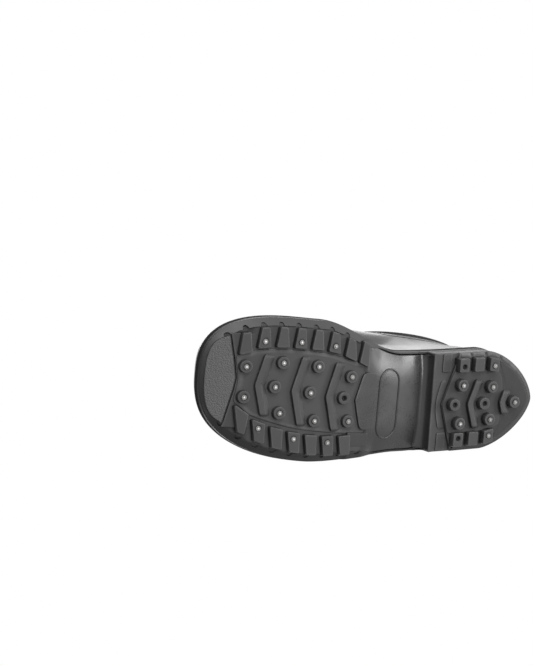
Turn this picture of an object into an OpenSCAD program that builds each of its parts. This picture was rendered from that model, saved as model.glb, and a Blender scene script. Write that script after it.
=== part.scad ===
/* [Sole outline] */
// Length of the sole from toe to heel
sole_len = 322; // [300:1:340]
// Width across the ball
ball_w = 121; // [113:1:129]
// Width at the waist
waist_w = 88; // [82:1:94]
// Width across the heel
heel_w = 88; // [82:1:94]
// Distance of the widest station from the toe end
ball_at = 100; // [94:1:107]
// Distance of the waist from the heel end
waist_at = 133; // [127:1:139]
// Length of the rounded heel end
heel_round = 51; // [46:1:58]
// Squareness of the toe, where 2 is an ellipse
toe_power = 2.7; // [2.3:0.1:3]
// Squareness of the heel end
heel_power = 1.6; // [1.5:0.05:2]
// How far the toe swings to the medial side
toe_swing = 9; // [6:0.5:11]
// How far the waist swings to the lateral side
waist_swing = 8.5; // [6:0.5:10]
// How far the heel end swings to the lateral side
heel_swing = 1; // [0:0.5:3]

/* [Sole profile] */
// Rise of the tread at the toe end
toe_spring = 14; // [10:1:17]
// Length of the tread that curls up to the toe
spring_len = 100; // [90:1:110]
// Height of the boot seat above the tread at the forefoot
fore_seat = 12.5; // [11.5:0.5:15]
// Height of the boot seat above the tread at the heel
heel_seat = 27; // [24:0.5:30]
// Distance from the heel end to where the seat starts to rise
seat_rise_at = 185; // [175:1:192]
// Distance from the heel end to where the seat is level again
seat_level_at = 96; // [90:1:104]
// Depth of the sole's side wall below the seat at the heel
heel_wall = 7.5; // [6:0.5:9]
// Length of the heel block
heel_len = 107.5; // [103:0.5:111]
// Height of the arch above the tread at the heel breast
arch_depth = 16.5; // [14:0.5:18]
// Depth of the shank's front edge above the tread
shank_depth = 1.5; // [1:0.1:2.5]
// Distance of the arch's start from the heel end
arch_at = 176; // [170:1:182]
// Distance of the shank's front edge from the heel end
shank_at = 184; // [180:1:188]
// Half span of the shank's front edge
shank_span = 22; // [19:0.5:25]

/* [Tread] */
// Depth of the forefoot's edge lugs
lug_h = 4.2; // [3.5:0.1:5]
// Height of the tread field above the lugs' floor
field_h = 0.8; // [0.5:0.1:1.5]
// Height of the chevron bars at their front edge
bar_h = 3; // [2:0.1:3.2]
// Width of a chevron bar, front edge to foot of its slope
bar_w = 10; // [8:0.5:11]
// Sweep of the chevron arms, degrees
bar_sweep = 15; // [11:0.5:20]
// Distance between chevrons
row_pitch = 32.6; // [31:0.1:34]
// Distance of the first chevron's apex from the toe end
first_row = 43.5; // [42:0.5:47]
// Distance from a chevron's apex to the middle boss behind it
boss_step = 17.5; // [16:0.5:19]
// Further distance to the side bosses of that row
side_step = 5.8; // [4:0.1:7]
// Forefoot tread's turn to the medial side, degrees
fore_turn = 6.7; // [4:0.1:9]
// Forefoot tread's axis where its middle row stands
fore_axis = 1.6; // [-2:0.1:4]
// Half span of the front pair of bosses
front_span = 12.8; // [11:0.1:14]
// Distance of the front pair ahead of the first apex
front_step = 8.7; // [7:0.1:10]
// Half span of the first row of bosses
first_span = 21.2; // [19:0.1:22]
// Half span of the middle row
row_span = 23.1; // [21:0.1:24]
// Half span of the last row
last_span = 19.1; // [17.5:0.1:21]
// Half span of the first chevron
first_bar_span = 25; // [22:0.5:27]
// Half span of the other chevrons of the forefoot
bar_span = 28.5; // [25:0.5:30]
// Distance between edge lugs in the forefoot
lug_pitch = 16.1; // [15.5:0.1:16.8]
// Distance of the first edge lug from the toe end
first_lug = 33; // [31:0.5:36]
// How much nearer to the sole's edge each next lateral lug lies
lug_drift = 0.9; // [0:0.1:1.2]
// Width of a forefoot lug at its inner end
lug_in_w = 11.5; // [10.5:0.5:12.5]
// Width of a medial lug at its outer end
lug_out_w = 6.6; // [6:0.1:8]
// Width of a lateral lug at its outer end
lateral_out_w = 9; // [7:0.5:10]
// Distance of a forefoot lug's outer end from the sole's edge
lug_out = 7.6; // [6.5:0.1:8.5]
// Distance of a forefoot lug's inner end from the sole's edge
lug_in = 24.7; // [23:0.1:26]
// Distance of a forefoot lug's stud from the sole's edge
lug_stud_in = 19.3; // [18:0.1:20.5]
// Height of the toe pad above the lugs' floor
pad_h = 1.4; // [0.8:0.1:2]
// Width of the groove behind the toe pad
pad_gap = 1.8; // [1:0.1:3]
// Distance of the toe pad's rear step from the toe end
pad_len = 28.6; // [26:0.1:31]
// Groove between the foxing and the toe pad or shank
pad_groove = 0.8; // [0.5:0.1:1.5]
// Sweep of the toe pad's rear step, degrees
pad_sweep = 11.6; // [8:0.1:16]
// Length of the bare oval on the shank, across the sole
oval_len = 60; // [52:1:63]
// Width of the oval
oval_w = 22.5; // [18:0.5:24]
// Width of the oval's bead
oval_line = 1.2; // [0.8:0.1:2]
// Height of the oval's bead
oval_h = 0.6; // [0.4:0.1:1]
// Distance of the oval from the heel end
oval_at = 146; // [143:1:149]
// Sideways place of the oval
oval_x = -9; // [-11:0.5:-6]

/* [Heel tread] */
// Depth of the heel's lugs
heel_lug_h = 6.8; // [6:0.1:7.5]
// Height of the heel's tread field above the lugs' floor
heel_field_h = 1; // [0.5:0.1:2]
// Height of the heel's chevron bars at their front edge
heel_bar_h = 4; // [2.5:0.1:4.4]
// Sweep of the heel's chevron arms, degrees
heel_sweep = 18; // [14:1:22]
// Heel tread's axis where its first middle boss stands
heel_axis = -7.8; // [-10:0.1:-5]
// Heel tread's turn to the medial side towards the back, degrees
heel_turn = 3.6; // [1:0.1:5]
// Distance of the heel's front bar behind the breast
front_bar = 4; // [3:0.5:5]
// Height of the front bar on its ledge
front_bar_h = 0.9; // [0.6:0.1:1.4]
// Half span of the front bar
front_bar_span = 23; // [20:0.5:25]
// Depth of the front ledge below the lugs' floor
ledge_step = 2.5; // [1.5:0.1:3.5]
// Height of the first pair of heel lugs on that ledge
ledge_lug_h = 1; // [0.6:0.1:1.6]
// Distance of the ledge's V step behind the breast
heel_first = 12.7; // [11.5:0.1:14]
// Distance of the heel's chevron behind that step
heel_pitch = 24.7; // [23:0.1:26]
// Distance of the last, short bar behind the chevron
heel_last = 33.5; // [32:0.1:35]
// Distance from the step to the middle boss behind it
heel_boss_step = 10.3; // [9.5:0.1:12]
// Distance of the second row of heel bosses behind the first
heel_row_pitch = 30.9; // [29:0.1:33]
// Further distance to the side bosses of a heel row
heel_side_step = 7; // [6:0.1:9]
// Half span of the heel's first row of bosses
heel_span = 17; // [15:0.1:18]
// Half span of the heel's second row
heel_back_span = 14.6; // [13:0.1:16]
// Half span of the heel's chevron
heel_bar_span = 22; // [19:0.5:24]
// Half span of the short bar at the back
last_bar_span = 11; // [9:0.5:13]
// Distance of the last boss from the heel end
last_boss = 21.9; // [20:0.1:24]
// Distance of the first heel lug behind the breast
heel_lug_first = 12; // [10.5:0.5:13]
// Distance between heel lugs
heel_lug_pitch = 15.6; // [15:0.1:16.5]
// Extra gap behind the first heel lug, where the step passes
heel_lug_gap = 2; // [1:0.1:3]
// Width of a heel lug
heel_lug_w = 9.6; // [8.5:0.1:11]
// Distance of a heel lug's outer end from the sole's edge
heel_lug_out = 4.8; // [4:0.1:6]
// Distance of a heel lug's inner end from the sole's edge
heel_lug_in = 17; // [16:0.1:18.5]
// Distance of a heel lug's stud from the sole's edge
heel_lug_stud_in = 12.1; // [11:0.1:13]

/* [Studs] */
// Diameter of a boss at its face
boss_d = 10.5; // [9.5:0.5:11.5]
// Extra diameter of a boss at its foot
boss_draft = 1.5; // [0:0.5:2.5]
// How far a pin stands out of the tread
stud_proud = 1.2; // [0.8:0.1:1.6]
// How far a jacket stands out of the tread
jacket_proud = 0.7; // [0.3:0.1:0.8]
// Diameter of a stud's jacket
jacket_d = 4.2; // [3.6:0.1:5]
// Depth of a stud below the tread
stud_depth = 7; // [6:0.25:8]
// Diameter of a jacket's buried flange
flange_d = 7.6; // [6.5:0.1:8.2]
// Thickness of the flange
flange_t = 1.5; // [1:0.1:2]
// Diameter of a pin
pin_d = 2.2; // [1.8:0.1:2.6]
// Length of a pin
pin_len = 5.5; // [4.5:0.25:6]
// Play between a stud and its socket
stud_play = 0.05; // [0.03:0.01:0.1]

/* [Upper] */
// Thickness of the upper's wall
wall = 2.2; // [1.6:0.1:3]
// Thickness of an outer ply
ply_t = 0.9; // [0.6:0.1:1.4]
// Bond line between plies
bond_gap = 0.15; // [0.1:0.01:0.3]
// Thickness of the foxing band
band_t = 2.8; // [2:0.1:3.5]
// Height of the foxing band above the seat
band_up = 8; // [6:0.5:10]
// How far the foxing's bead stands out
bead = 0.8; // [0.4:0.1:1.2]
// Distance of the collar's front from the toe end
collar_front = 127; // [120:1:134]
// Distance of the collar's back from the heel end
collar_back = 9; // [6:1:14]
// Width of the collar
collar_w = 90; // [84:1:94]
// Sideways place of the collar's middle
collar_x = -1.5; // [-4:0.5:0]
// Height of the collar at the instep
top_front = 107; // [102:1:112]
// Height of the collar at the sides
top_side = 100; // [94:1:106]
// Height of the collar at the back
top_back = 102; // [95:1:108]
// Share of the height that the toe's dome takes
dome_share = 0.45; // [0.4:0.01:0.5]
// Share of the way to the collar that the dome takes
dome_reach = 0.3; // [0.26:0.01:0.34]
// Squareness of the dome
dome_power = 2.4; // [2.1:0.1:2.8]
// Length of the collar band down the upper
collar_len = 13; // [10:0.5:16]
// Thickness of the insole
insole_t = 3; // [2:0.5:4]
// Play round the insole
insole_play = 0.4; // [0.2:0.1:0.8]

/* [Hidden] */
$fn = 32;
toe_y = -sole_len/2;
heel_y = sole_len/2;
ball_y = toe_y + ball_at;
waist_y = heel_y - waist_at;
round_y = heel_y - heel_round;
breast_y = heel_y - heel_len;
spring_y = toe_y + spring_len;
arch_y = heel_y - arch_at;
shank_y = heel_y - shank_at;
over = 1;
overlap = 0.5;
outline_steps = 72;
lattice = 360/outline_steps;
profile_step = 5;
climb_steps = 16;
bend = 0.55;
toe_cap_turn = 52;
toe_cap_tip = 0.93*toe_cap_turn;
toe_cap_top = 0.6;
quarter_front = 25;
quarter_low = 65;
counter_turn = 150;
counter_gap = 1;
side_turn = 100;
medial_lugs = 8;
lateral_lugs = 7;
heel_lugs = 4;
fore_rows = 3;
upper_in = band_t + bond_gap;
band_down = heel_wall - bond_gap;
heel_top = stud_proud + heel_seat - heel_wall;
middle_lug = 3;
rubber_black = [0.07, 0.07, 0.07];
rubber_grey = [0.2, 0.2, 0.2];
steel = [0.75, 0.75, 0.73];
hard_metal = [0.5, 0.5, 0.5];

function blend(t) = 0.5 - 0.5*cos(180*max(0, min(1, t)));
function ramp(y, y0, y1, a, b) = a + (b - a)*blend((y - y0)/(y1 - y0));
function cap(d, p) = d <= 0 ? 1 : pow(max(0, 1 - pow(min(1, d), p)), 1/p);
function unit(v) = v/norm(v);
function mix(a, b, t) = a + (b - a)*t;

// Sole outline: half width and centre line against the distance along the sole
function body_width(y) = y < waist_y ? ramp(y, ball_y, waist_y, ball_w, waist_w)
    : ramp(y, waist_y, round_y, waist_w, heel_w);
function half_width(y) = body_width(y)/2*cap((ball_y - y)/ball_at, toe_power)
    *cap((y - round_y)/heel_round, heel_power);
function centre(y) = y < ball_y ? toe_swing*pow((ball_y - y)/ball_at, 1.3)
    : y < waist_y ? ramp(y, ball_y, waist_y, 0, -waist_swing)
    : ramp(y, waist_y, heel_y, -waist_swing, -heel_swing);
function edge_x(y, side) = centre(y) + side*half_width(y);

// Point of the outline at a turn of 0 at the toe, 90 medial, 180 at the heel, 270 lateral
function edge(a) = let (y = -sole_len/2*cos(a)) [edge_x(y, sin(a) < 0 ? -1 : 1), y];
function outward(a) = let (d = unit(edge(a + 1) - edge(a - 1))) [d[1], -d[0]];
function inset(a, k) = edge(a) - k*outward(a);

// Heights along the sole
function tread(y) = stud_proud + toe_spring*pow(max(0, spring_y - y)/spring_len, 2);
function seat(y) = tread(y) + ramp(y, heel_y - seat_rise_at, heel_y - seat_level_at, fore_seat, heel_seat);
function lug_floor(y) = tread(y) + lug_h;
function field(y) = lug_floor(y) - field_h;
function heel_floor(y) = tread(y) + heel_lug_h;
function heel_field(y) = heel_floor(y) - heel_field_h;
// Slope of the tread along the sole, degrees
function lean(y) = -atan(2*toe_spring*max(0, spring_y - y)/pow(spring_len, 2));
// The arch steepens from the shank to the breast
function arch(y) = let (t = max(0, min(1, (y - arch_y)/(breast_y - arch_y))))
    stud_proud + mix(shank_depth, arch_depth, t*t);
function ledge(y) = heel_floor(y) + ledge_step;
function fore_x(y) = fore_axis - tan(fore_turn)*(y - row_y(1));
function row_y(i) = toe_y + first_row + i*row_pitch;
function heel_row_y(i) = breast_y + heel_first + i*heel_pitch;
function heel_x(y) = heel_axis + tan(heel_turn)*(y - heel_mid_y);

// Upper: each line climbs from the sole's edge over a dome and on to the collar
function fold(a) = 180 - abs(180 - (a + 720)%360);
function foot(a) = inset(a, upper_in);
function foot_z(a) = seat(foot(a)[1]) + bond_gap;
function mouth(a) = [collar_x + collar_w/2*sin(a),
    mix(toe_y + collar_front, heel_y - collar_back, 0.5 - 0.5*cos(a))];
function top(a) = fold(a) < side_turn ? ramp(fold(a), 0, side_turn, top_front, top_side)
    : ramp(fold(a), side_turn, 180, top_side, top_back);
function climb(v) = v < bend
    ? let (t = 90*v/bend) [dome_reach*(1 - pow(cos(t), 2/dome_power)), pow(sin(t), 2/dome_power)]
    : [mix(dome_reach, 1, (v - bend)/(1 - bend)), 1];
function on_upper(a, v) = let (f = foot(a), c = climb(v), p = mix(f, mouth(a), c[0]),
    rise = (1 - dome_share)*c[0] + dome_share*c[1]) [p[0], p[1], mix(foot_z(a), top(a), rise)];
function upper_normal(a, v) = unit(cross(on_upper(a + 1, v) - on_upper(a - 1, v),
    on_upper(a, min(1, v + 0.02)) - on_upper(a, max(0, v - 0.02))));
function off_upper(a, v, d) = on_upper(a, v) + d*upper_normal(a, v);
// Place on a line at a height above the seat, and at a length down from the collar
function v_up(a, h) = bend/90*asin(min(1, pow(h/(dome_share*(top(a) - foot_z(a))), dome_power/2)));
function v_down(a, l) = 1 - (1 - bend)/(1 - dome_reach)*l
    /norm([norm(mouth(a) - foot(a)), (1 - dome_share)*(top(a) - foot_z(a))]);

// Closed ring through section loops that follow one another round the shoe
module hoop(loops) {
    n = len(loops);
    m = len(loops[0]);
    polyhedron(points = [for (loop = loops) each loop],
        faces = [for (i = [0:n - 1], j = [0:m - 1])
            let (k = (i + 1)%n, l = (j + 1)%m)
            each [[i*m + j, k*m + j, k*m + l], [i*m + j, k*m + l, i*m + l]]]);
}

// Sheet between section loops, closed at its two ends
module sheet(loops) {
    n = len(loops);
    m = len(loops[0]);
    last = (n - 1)*m;
    polyhedron(points = [for (loop = loops) each loop],
        faces = [
            for (i = [0:n - 2], j = [0:m - 1])
                let (l = (j + 1)%m)
                each [[i*m + j, (i + 1)*m + j, (i + 1)*m + l], [i*m + j, (i + 1)*m + l, i*m + l]],
            for (j = [0:m/2 - 2])
                let (p = m - 1 - j)
                each [[j, j + 1, p - 1], [j, p - 1, p],
                    [last + j, last + p - 1, last + j + 1], [last + j, last + p, last + p - 1]]]);
}

// Section loop of a ply on the upper: outer face up, inner face down
function ply_loop(places, t) = [
    for (p = places) off_upper(p[0], p[1], bond_gap + t),
    for (i = [len(places) - 1:-1:0]) off_upper(places[i][0], places[i][1], bond_gap)];

// Slab across the shoe between two heights that vary along the sole
module slab(y0, y1, low, high) {
    n = ceil((y1 - y0)/profile_step);
    ys = [for (i = [0:n]) mix(y0, y1, i/n)];
    rotate([90, 0, 90])
        linear_extrude(height = 2*ball_w, center = true)
            polygon([for (y = ys) [y, low(y)], for (i = [n:-1:0]) [ys[i], high(ys[i])]]);
}

module outline(k) {
    polygon([for (i = [0:outline_steps - 1]) inset(360*i/outline_steps, k)]);
}

// Plan of an edge lug between two distances from the sole's edge
module lug_plan(side, y, w_in, w_out, d_in, d_out) {
    polygon([[edge_x(y - w_in/2, side) - side*d_in, y - w_in/2],
        [edge_x(y - w_out/2, side) - side*d_out, y - w_out/2],
        [edge_x(y + w_out/2, side) - side*d_out, y + w_out/2],
        [edge_x(y + w_in/2, side) - side*d_in, y + w_in/2]]);
}

// Chevron bar: a steep front edge and a long slope behind it, mitred at the apex
module chevron(p, z, span, sweep, h) {
    arm = span/cos(sweep);
    translate([p[0], p[1], z])
        rotate([lean(p[1]), 0, 0])
            for (side = [-1, 1])
                intersection() {
                    translate([side > 0 ? 0 : -span, -bar_w, -h])
                        cube([span, 5*bar_w, h + over]);
                    rotate(side*sweep)
                        rotate([90, 0, 90])
                            linear_extrude(height = 4*arm, center = true)
                                polygon([[0, over], [0, -h], [bar_w/2, -h], [bar_w, 0], [bar_w, over]]);
                }
}

// Place on the tread face, square to it
module on_tread(p) {
    translate([p[0], p[1], tread(p[1])])
        rotate([lean(p[1]), 0, 0])
            children();
}

module boss(p, h) {
    on_tread(p)
        cylinder(h = h + overlap, d1 = boss_d, d2 = boss_d + boss_draft);
}

// Room for a stud, from the tread face to the back of its flange
module socket(p) {
    on_tread(p) {
        translate([0, 0, -over])
            cylinder(h = stud_depth + over, d = jacket_d + 2*stud_play);
        translate([0, 0, stud_depth - flange_t - stud_play])
            cylinder(h = flange_t + 2*stud_play, d = flange_d + 2*stud_play);
    }
}

// Empty blind socket
module socket_open(p) {
    on_tread(p)
        translate([0, 0, -over])
            cylinder(h = stud_depth - flange_t + over, d = jacket_d);
}

module jacket(p) {
    color(steel)
        on_tread(p)
            difference() {
                union() {
                    translate([0, 0, -jacket_proud])
                        cylinder(h = stud_depth + jacket_proud, d = jacket_d);
                    translate([0, 0, stud_depth - flange_t])
                        cylinder(h = flange_t, d = flange_d);
                }
                translate([0, 0, -stud_proud])
                    cylinder(h = pin_len + stud_play, d = pin_d + 2*stud_play);
            }
}

module pin(p) {
    tip = pin_d/4;
    color(hard_metal)
        on_tread(p)
            translate([0, 0, -stud_proud]) {
                cylinder(h = tip, d1 = pin_d - tip, d2 = pin_d);
                translate([0, 0, tip])
                    cylinder(h = pin_len - tip, d = pin_d);
            }
}

// Stud places
function fore_row(i, span) = let (y = row_y(i) + boss_step, s = y + side_step)
    [[fore_x(s) + span, s], [fore_x(s) - span, s], [fore_x(y), y]];
front_y = row_y(0) - front_step;
front_pair = [for (side = [1, -1]) [fore_x(front_y) + side*front_span, front_y]];
fore_places = concat(front_pair, fore_row(0, first_span), fore_row(1, row_span), fore_row(2, last_span));
fore_open = len(fore_places) - 1;
fore_studs = [for (i = [0:fore_open - 1]) fore_places[i]];
function lug_y(i) = toe_y + first_lug + i*lug_pitch;
// Shift of a forefoot lug inwards from its usual distance to the edge
function lug_shift(side, i) = side < 0 ? lug_drift*(middle_lug - i) : 0;
function by_edge(side, y, d) = [edge_x(y, side) - side*d, y];
fore_lug_studs = [for (side = [1, -1], i = [1:2:5])
    by_edge(side, lug_y(i), lug_stud_in + lug_shift(side, i))];
heel_mid_y = heel_row_y(0) + heel_boss_step;
function heel_row(i, span) = let (y = heel_mid_y + i*heel_row_pitch, s = y + heel_side_step)
    [[heel_x(s) + span, s], [heel_x(s) - span, s], [heel_x(y), y]];
heel_rows = [heel_row(0, heel_span), heel_row(1, heel_back_span)];
last_y = heel_y - last_boss;
heel_studs = [for (row = heel_rows, j = [0:1]) row[j], [heel_x(last_y), last_y]];
heel_open = [for (row = heel_rows) row[2]];
function heel_lug_y(i) = breast_y + heel_lug_first + i*heel_lug_pitch + (i > 0 ? heel_lug_gap : 0);
function heel_lug_place(side, i) = by_edge(side, heel_lug_y(i), heel_lug_stud_in);
heel_lug_studs = [for (side = [1, -1]) heel_lug_place(side, heel_lugs - 1)];
heel_lug_open = [for (side = [1, -1]) heel_lug_place(side, 1)];

module upper_shell() {
    color(rubber_black)
        hoop([for (i = [0:outline_steps - 1]) let (a = i*lattice) [
            for (j = [0:climb_steps]) on_upper(a, j/climb_steps),
            for (j = [climb_steps:-1:0]) off_upper(a, j/climb_steps, -wall)]]);
}

// Lower edge of every ply, just above the foxing, and upper edge, just below the collar band
function ply_low(a) = v_up(a, band_up + ply_t);
function ply_high(a) = v_down(a, collar_len + ply_t);

// Ply between turns that are whole steps of the lattice, from one edge line to another
module ply(turns, low, high, rows) {
    color(rubber_black)
        sheet([for (a = turns) ply_loop([for (j = [0:rows]) [a, mix(low(a), high(a), j/rows)]], ply_t)]);
}

// Edge of the toe cap: level over the toe, then down and back along the side
function cap_edge(a) = toe_cap_top*pow(max(0, 1 - pow(a/toe_cap_turn, 2)), 0.8);

module toe_cap() {
    steps = ceil(toe_cap_tip/lattice) - 1;
    inner = [for (i = [-steps:steps]) i*lattice];
    ply(concat([-toe_cap_tip], inner, [toe_cap_tip]), function (a) ply_low(a), function (a) cap_edge(a), 10);
}

// Front edge of a quarter: from the instep down and back to the foxing
function quarter_edge(a) = let (t = min(1, (abs(a) - quarter_front)/(quarter_low - quarter_front)))
    mix(ply_low(a), bend, pow(1 - t, 1.3));

module quarter(side) {
    turns = [for (a = [quarter_front:lattice:counter_turn]) a];
    n = len(turns);
    ply([for (i = [0:n - 1]) side > 0 ? turns[i] : -turns[n - 1 - i]], function (a) quarter_edge(a),
        function (a) ply_high(a), 16);
}

module lateral_quarter() {
    quarter(-1);
}

module medial_quarter() {
    quarter(1);
}

module heel_counter() {
    first = counter_turn + counter_gap;
    inner = [for (a = [counter_turn + lattice:lattice:360 - counter_turn - lattice]) a];
    ply(concat([first], inner, [360 - first]), function (a) ply_low(a), function (a) ply_high(a), 12);
}

module collar_band() {
    drops = [1, 0.35, 0.25, 0.02];
    swell = [1, 1, 2, 1.6];
    color(rubber_black)
        hoop([for (i = [0:outline_steps - 1]) let (a = i*lattice) [
            for (k = [0:3]) off_upper(a, v_down(a, drops[k]*collar_len), bond_gap + swell[k]*ply_t),
            for (k = [3:-1:0]) off_upper(a, v_down(a, drops[k]*collar_len), bond_gap)]]);
}

// Lower part of the foxing's section: distance outside the sole's edge, and height from the seat
band_section = [[-band_t, -band_down], [-0.8*band_t, -band_down], [0, -0.6*band_down], [0, 0.2*band_up],
    [bead, 0.3*band_up], [bead, 0.45*band_up], [0, 0.55*band_up]];

function band_loop(a) = let (z = seat(foot(a)[1]), v = v_up(a, band_up)) [
    for (s = band_section) let (p = inset(a, -s[0])) [p[0], p[1], z + s[1]],
    off_upper(a, v, bond_gap + 0.6*band_t),
    off_upper(a, v, bond_gap),
    concat(inset(a, band_t), z)];

module foxing_band() {
    color(rubber_black)
        hoop([for (i = [0:outline_steps - 1]) band_loop(i*lattice)]);
}

module insole() {
    color(rubber_grey)
        intersection() {
            linear_extrude(height = 2*top_front)
                outline(upper_in + wall + insole_play);
            slab(toe_y, heel_y, function (y) seat(y) + bond_gap,
                function (y) seat(y) + bond_gap + insole_t);
        }
}

// Plan of all that lies behind a V line, from its apex back
module behind(p, span, sweep) {
    drop = span*tan(sweep);
    translate(p)
        polygon([[0, 0], [span, drop], [ball_w, drop + ball_w], [ball_w, sole_len], [-ball_w, sole_len],
            [-ball_w, drop + ball_w], [-span, drop]]);
}

// Plan of all that lies ahead of a V line whose arms sweep to the toe
module ahead(p, sweep) {
    drop = ball_w*tan(sweep);
    translate(p)
        polygon([[-ball_w, -drop], [0, 0], [ball_w, -drop], [ball_w, -2*ball_w], [-ball_w, -2*ball_w]]);
}

// Plan of the forefoot's tread field, between the edge lugs and behind the toe pad
module field_plan() {
    steps = 12;
    front = toe_y + pad_len;
    ys = [for (i = [0:steps]) mix(front - overlap, shank_y + boss_step, i/steps)];
    difference() {
        polygon([for (y = ys) by_edge(1, y, lug_in - overlap),
            for (i = [steps:-1:0]) by_edge(-1, ys[i], lug_in - overlap)]);
        ahead([fore_x(front), front], pad_sweep);
    }
}

module oval(w) {
    run = oval_len - oval_w;
    square([run, w], center = true);
    for (side = [-1, 1])
        translate([side*run/2, 0])
            circle(d = w);
}

module outsole() {
    pad_y = toe_y + pad_len - pad_gap;
    color(rubber_grey)
        difference() {
            union() {
                intersection() {
                    linear_extrude(height = 2*top_front)
                        outline(upper_in);
                    union() {
                        slab(toe_y, breast_y, function (y) max(lug_floor(y), arch(y)),
                            function (y) seat(y));
                        slab(breast_y - overlap, heel_y, function (y) heel_top, function (y) seat(y));
                    }
                }
                intersection() {
                    linear_extrude(height = 2*top_front)
                        field_plan();
                    slab(toe_y, arch_y + row_pitch, function (y) field(y),
                        function (y) lug_floor(y) + overlap);
                }
                intersection() {
                    linear_extrude(height = 2*top_front)
                        intersection() {
                            outline(upper_in + pad_groove);
                            ahead([fore_x(pad_y), pad_y], pad_sweep);
                        }
                    slab(toe_y, pad_y + over, function (y) lug_floor(y) - pad_h,
                        function (y) lug_floor(y) + overlap);
                }
                intersection() {
                    linear_extrude(height = 2*top_front)
                        intersection() {
                            outline(upper_in + pad_groove);
                            behind([fore_x(shank_y), shank_y], shank_span, bar_sweep);
                        }
                    slab(arch_y - row_pitch, breast_y, function (y) arch(y), function (y) seat(y) - over);
                }
                intersection() {
                    linear_extrude(height = 2*top_front)
                        for (side = [-1, 1], i = [0:(side > 0 ? medial_lugs : lateral_lugs) - 1])
                            let (w = side > 0 ? lug_out_w : lateral_out_w, k = lug_shift(side, i))
                            lug_plan(side, lug_y(i), lug_in_w, w, lug_in + k, lug_out + k);
                    slab(toe_y, arch_y + row_pitch, function (y) tread(y),
                        function (y) lug_floor(y) + overlap);
                }
                intersection() {
                    translate([oval_x, heel_y - oval_at])
                        linear_extrude(height = 2*top_front)
                            difference() {
                                oval(oval_w);
                                oval(oval_w - 2*oval_line);
                            }
                    slab(heel_y - oval_at - oval_w, heel_y - oval_at + oval_w,
                        function (y) arch(y) - oval_h, function (y) arch(y) + overlap);
                }
                for (i = [0:fore_rows - 1])
                    let (y = row_y(i), span = i > 0 ? bar_span : first_bar_span)
                    chevron([fore_x(y), y], field(y), span, bar_sweep, bar_h);
                for (p = fore_places)
                    boss(p, lug_h);
            }
            for (p = concat(fore_studs, fore_lug_studs))
                socket(p);
            socket_open(fore_places[fore_open]);
        }
}

// Plan of the heel's tread field: between the lugs, behind the step, and out to the rim at the back
module heel_plan() {
    steps = 8;
    front = heel_row_y(0) + overlap;
    back = heel_lug_y(heel_lugs - 1) + heel_lug_w/2 + heel_lug_gap;
    ys = [for (i = [0:steps]) mix(front, back + overlap, i/steps)];
    intersection() {
        behind([heel_x(front), front], ball_w, heel_sweep);
        union() {
            polygon([for (y = ys) by_edge(1, y, heel_lug_in - overlap),
                for (i = [steps:-1:0]) by_edge(-1, ys[i], heel_lug_in - overlap)]);
            intersection() {
                outline(heel_lug_out);
                translate([-ball_w, back])
                    square([2*ball_w, heel_len]);
            }
        }
    }
}

module heel_lug_plan(side, i) {
    lug_plan(side, heel_lug_y(i), heel_lug_w, heel_lug_w, heel_lug_in, heel_lug_out);
}

module heel_lift() {
    front = breast_y + front_bar;
    step = heel_row_y(0);
    bar = heel_row_y(1);
    rear = bar + heel_last;
    color(rubber_grey)
        difference() {
            union() {
                intersection() {
                    linear_extrude(height = 2*top_front)
                        outline(bond_gap);
                    union() {
                        slab(breast_y + bond_gap, heel_y, function (y) ledge(y),
                            function (y) heel_top - bond_gap);
                        intersection() {
                            linear_extrude(height = 2*top_front)
                                behind([heel_x(step), step], ball_w, heel_sweep);
                            slab(step - over, heel_y + over, function (y) heel_floor(y),
                                function (y) ledge(y) + overlap);
                        }
                    }
                }
                intersection() {
                    linear_extrude(height = 2*top_front)
                        heel_plan();
                    slab(breast_y + bond_gap, heel_y, function (y) heel_field(y),
                        function (y) heel_floor(y) + overlap);
                }
                intersection() {
                    linear_extrude(height = 2*top_front)
                        for (side = [-1, 1], i = [1:heel_lugs - 1])
                            heel_lug_plan(side, i);
                    slab(breast_y, heel_y, function (y) tread(y), function (y) ledge(y) + overlap);
                }
                intersection() {
                    linear_extrude(height = 2*top_front)
                        for (side = [-1, 1])
                            heel_lug_plan(side, 0);
                    slab(breast_y, heel_y, function (y) ledge(y) - ledge_lug_h,
                        function (y) ledge(y) + overlap);
                }
                chevron([heel_x(bar), bar], heel_field(bar), heel_bar_span, heel_sweep, heel_bar_h);
                chevron([heel_x(rear), rear], heel_field(rear), last_bar_span, heel_sweep, heel_bar_h);
                chevron([heel_x(front), front], ledge(front), front_bar_span, heel_sweep, front_bar_h);
                for (p = concat(heel_studs, heel_open))
                    boss(p, heel_lug_h);
            }
            for (p = concat(heel_studs, heel_lug_studs))
                socket(p);
            for (p = concat(heel_open, heel_lug_open))
                socket_open(p);
        }
}

module fore_field_jackets() {
    for (p = fore_studs)
        jacket(p);
}

module fore_field_pins() {
    for (p = fore_studs)
        pin(p);
}

module fore_lug_jackets() {
    for (p = fore_lug_studs)
        jacket(p);
}

module fore_lug_pins() {
    for (p = fore_lug_studs)
        pin(p);
}

module heel_field_jackets() {
    for (p = heel_studs)
        jacket(p);
}

module heel_field_pins() {
    for (p = heel_studs)
        pin(p);
}

module heel_lug_jackets() {
    for (p = heel_lug_studs)
        jacket(p);
}

module heel_lug_pins() {
    for (p = heel_lug_studs)
        pin(p);
}

upper_shell();
toe_cap();
lateral_quarter();
medial_quarter();
heel_counter();
collar_band();
foxing_band();
insole();
outsole();
heel_lift();
fore_field_jackets();
fore_field_pins();
fore_lug_jackets();
fore_lug_pins();
heel_field_jackets();
heel_field_pins();
heel_lug_jackets();
heel_lug_pins();
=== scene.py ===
import math
import bmesh
import bpy
import numpy as np
from mathutils import Matrix


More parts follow.
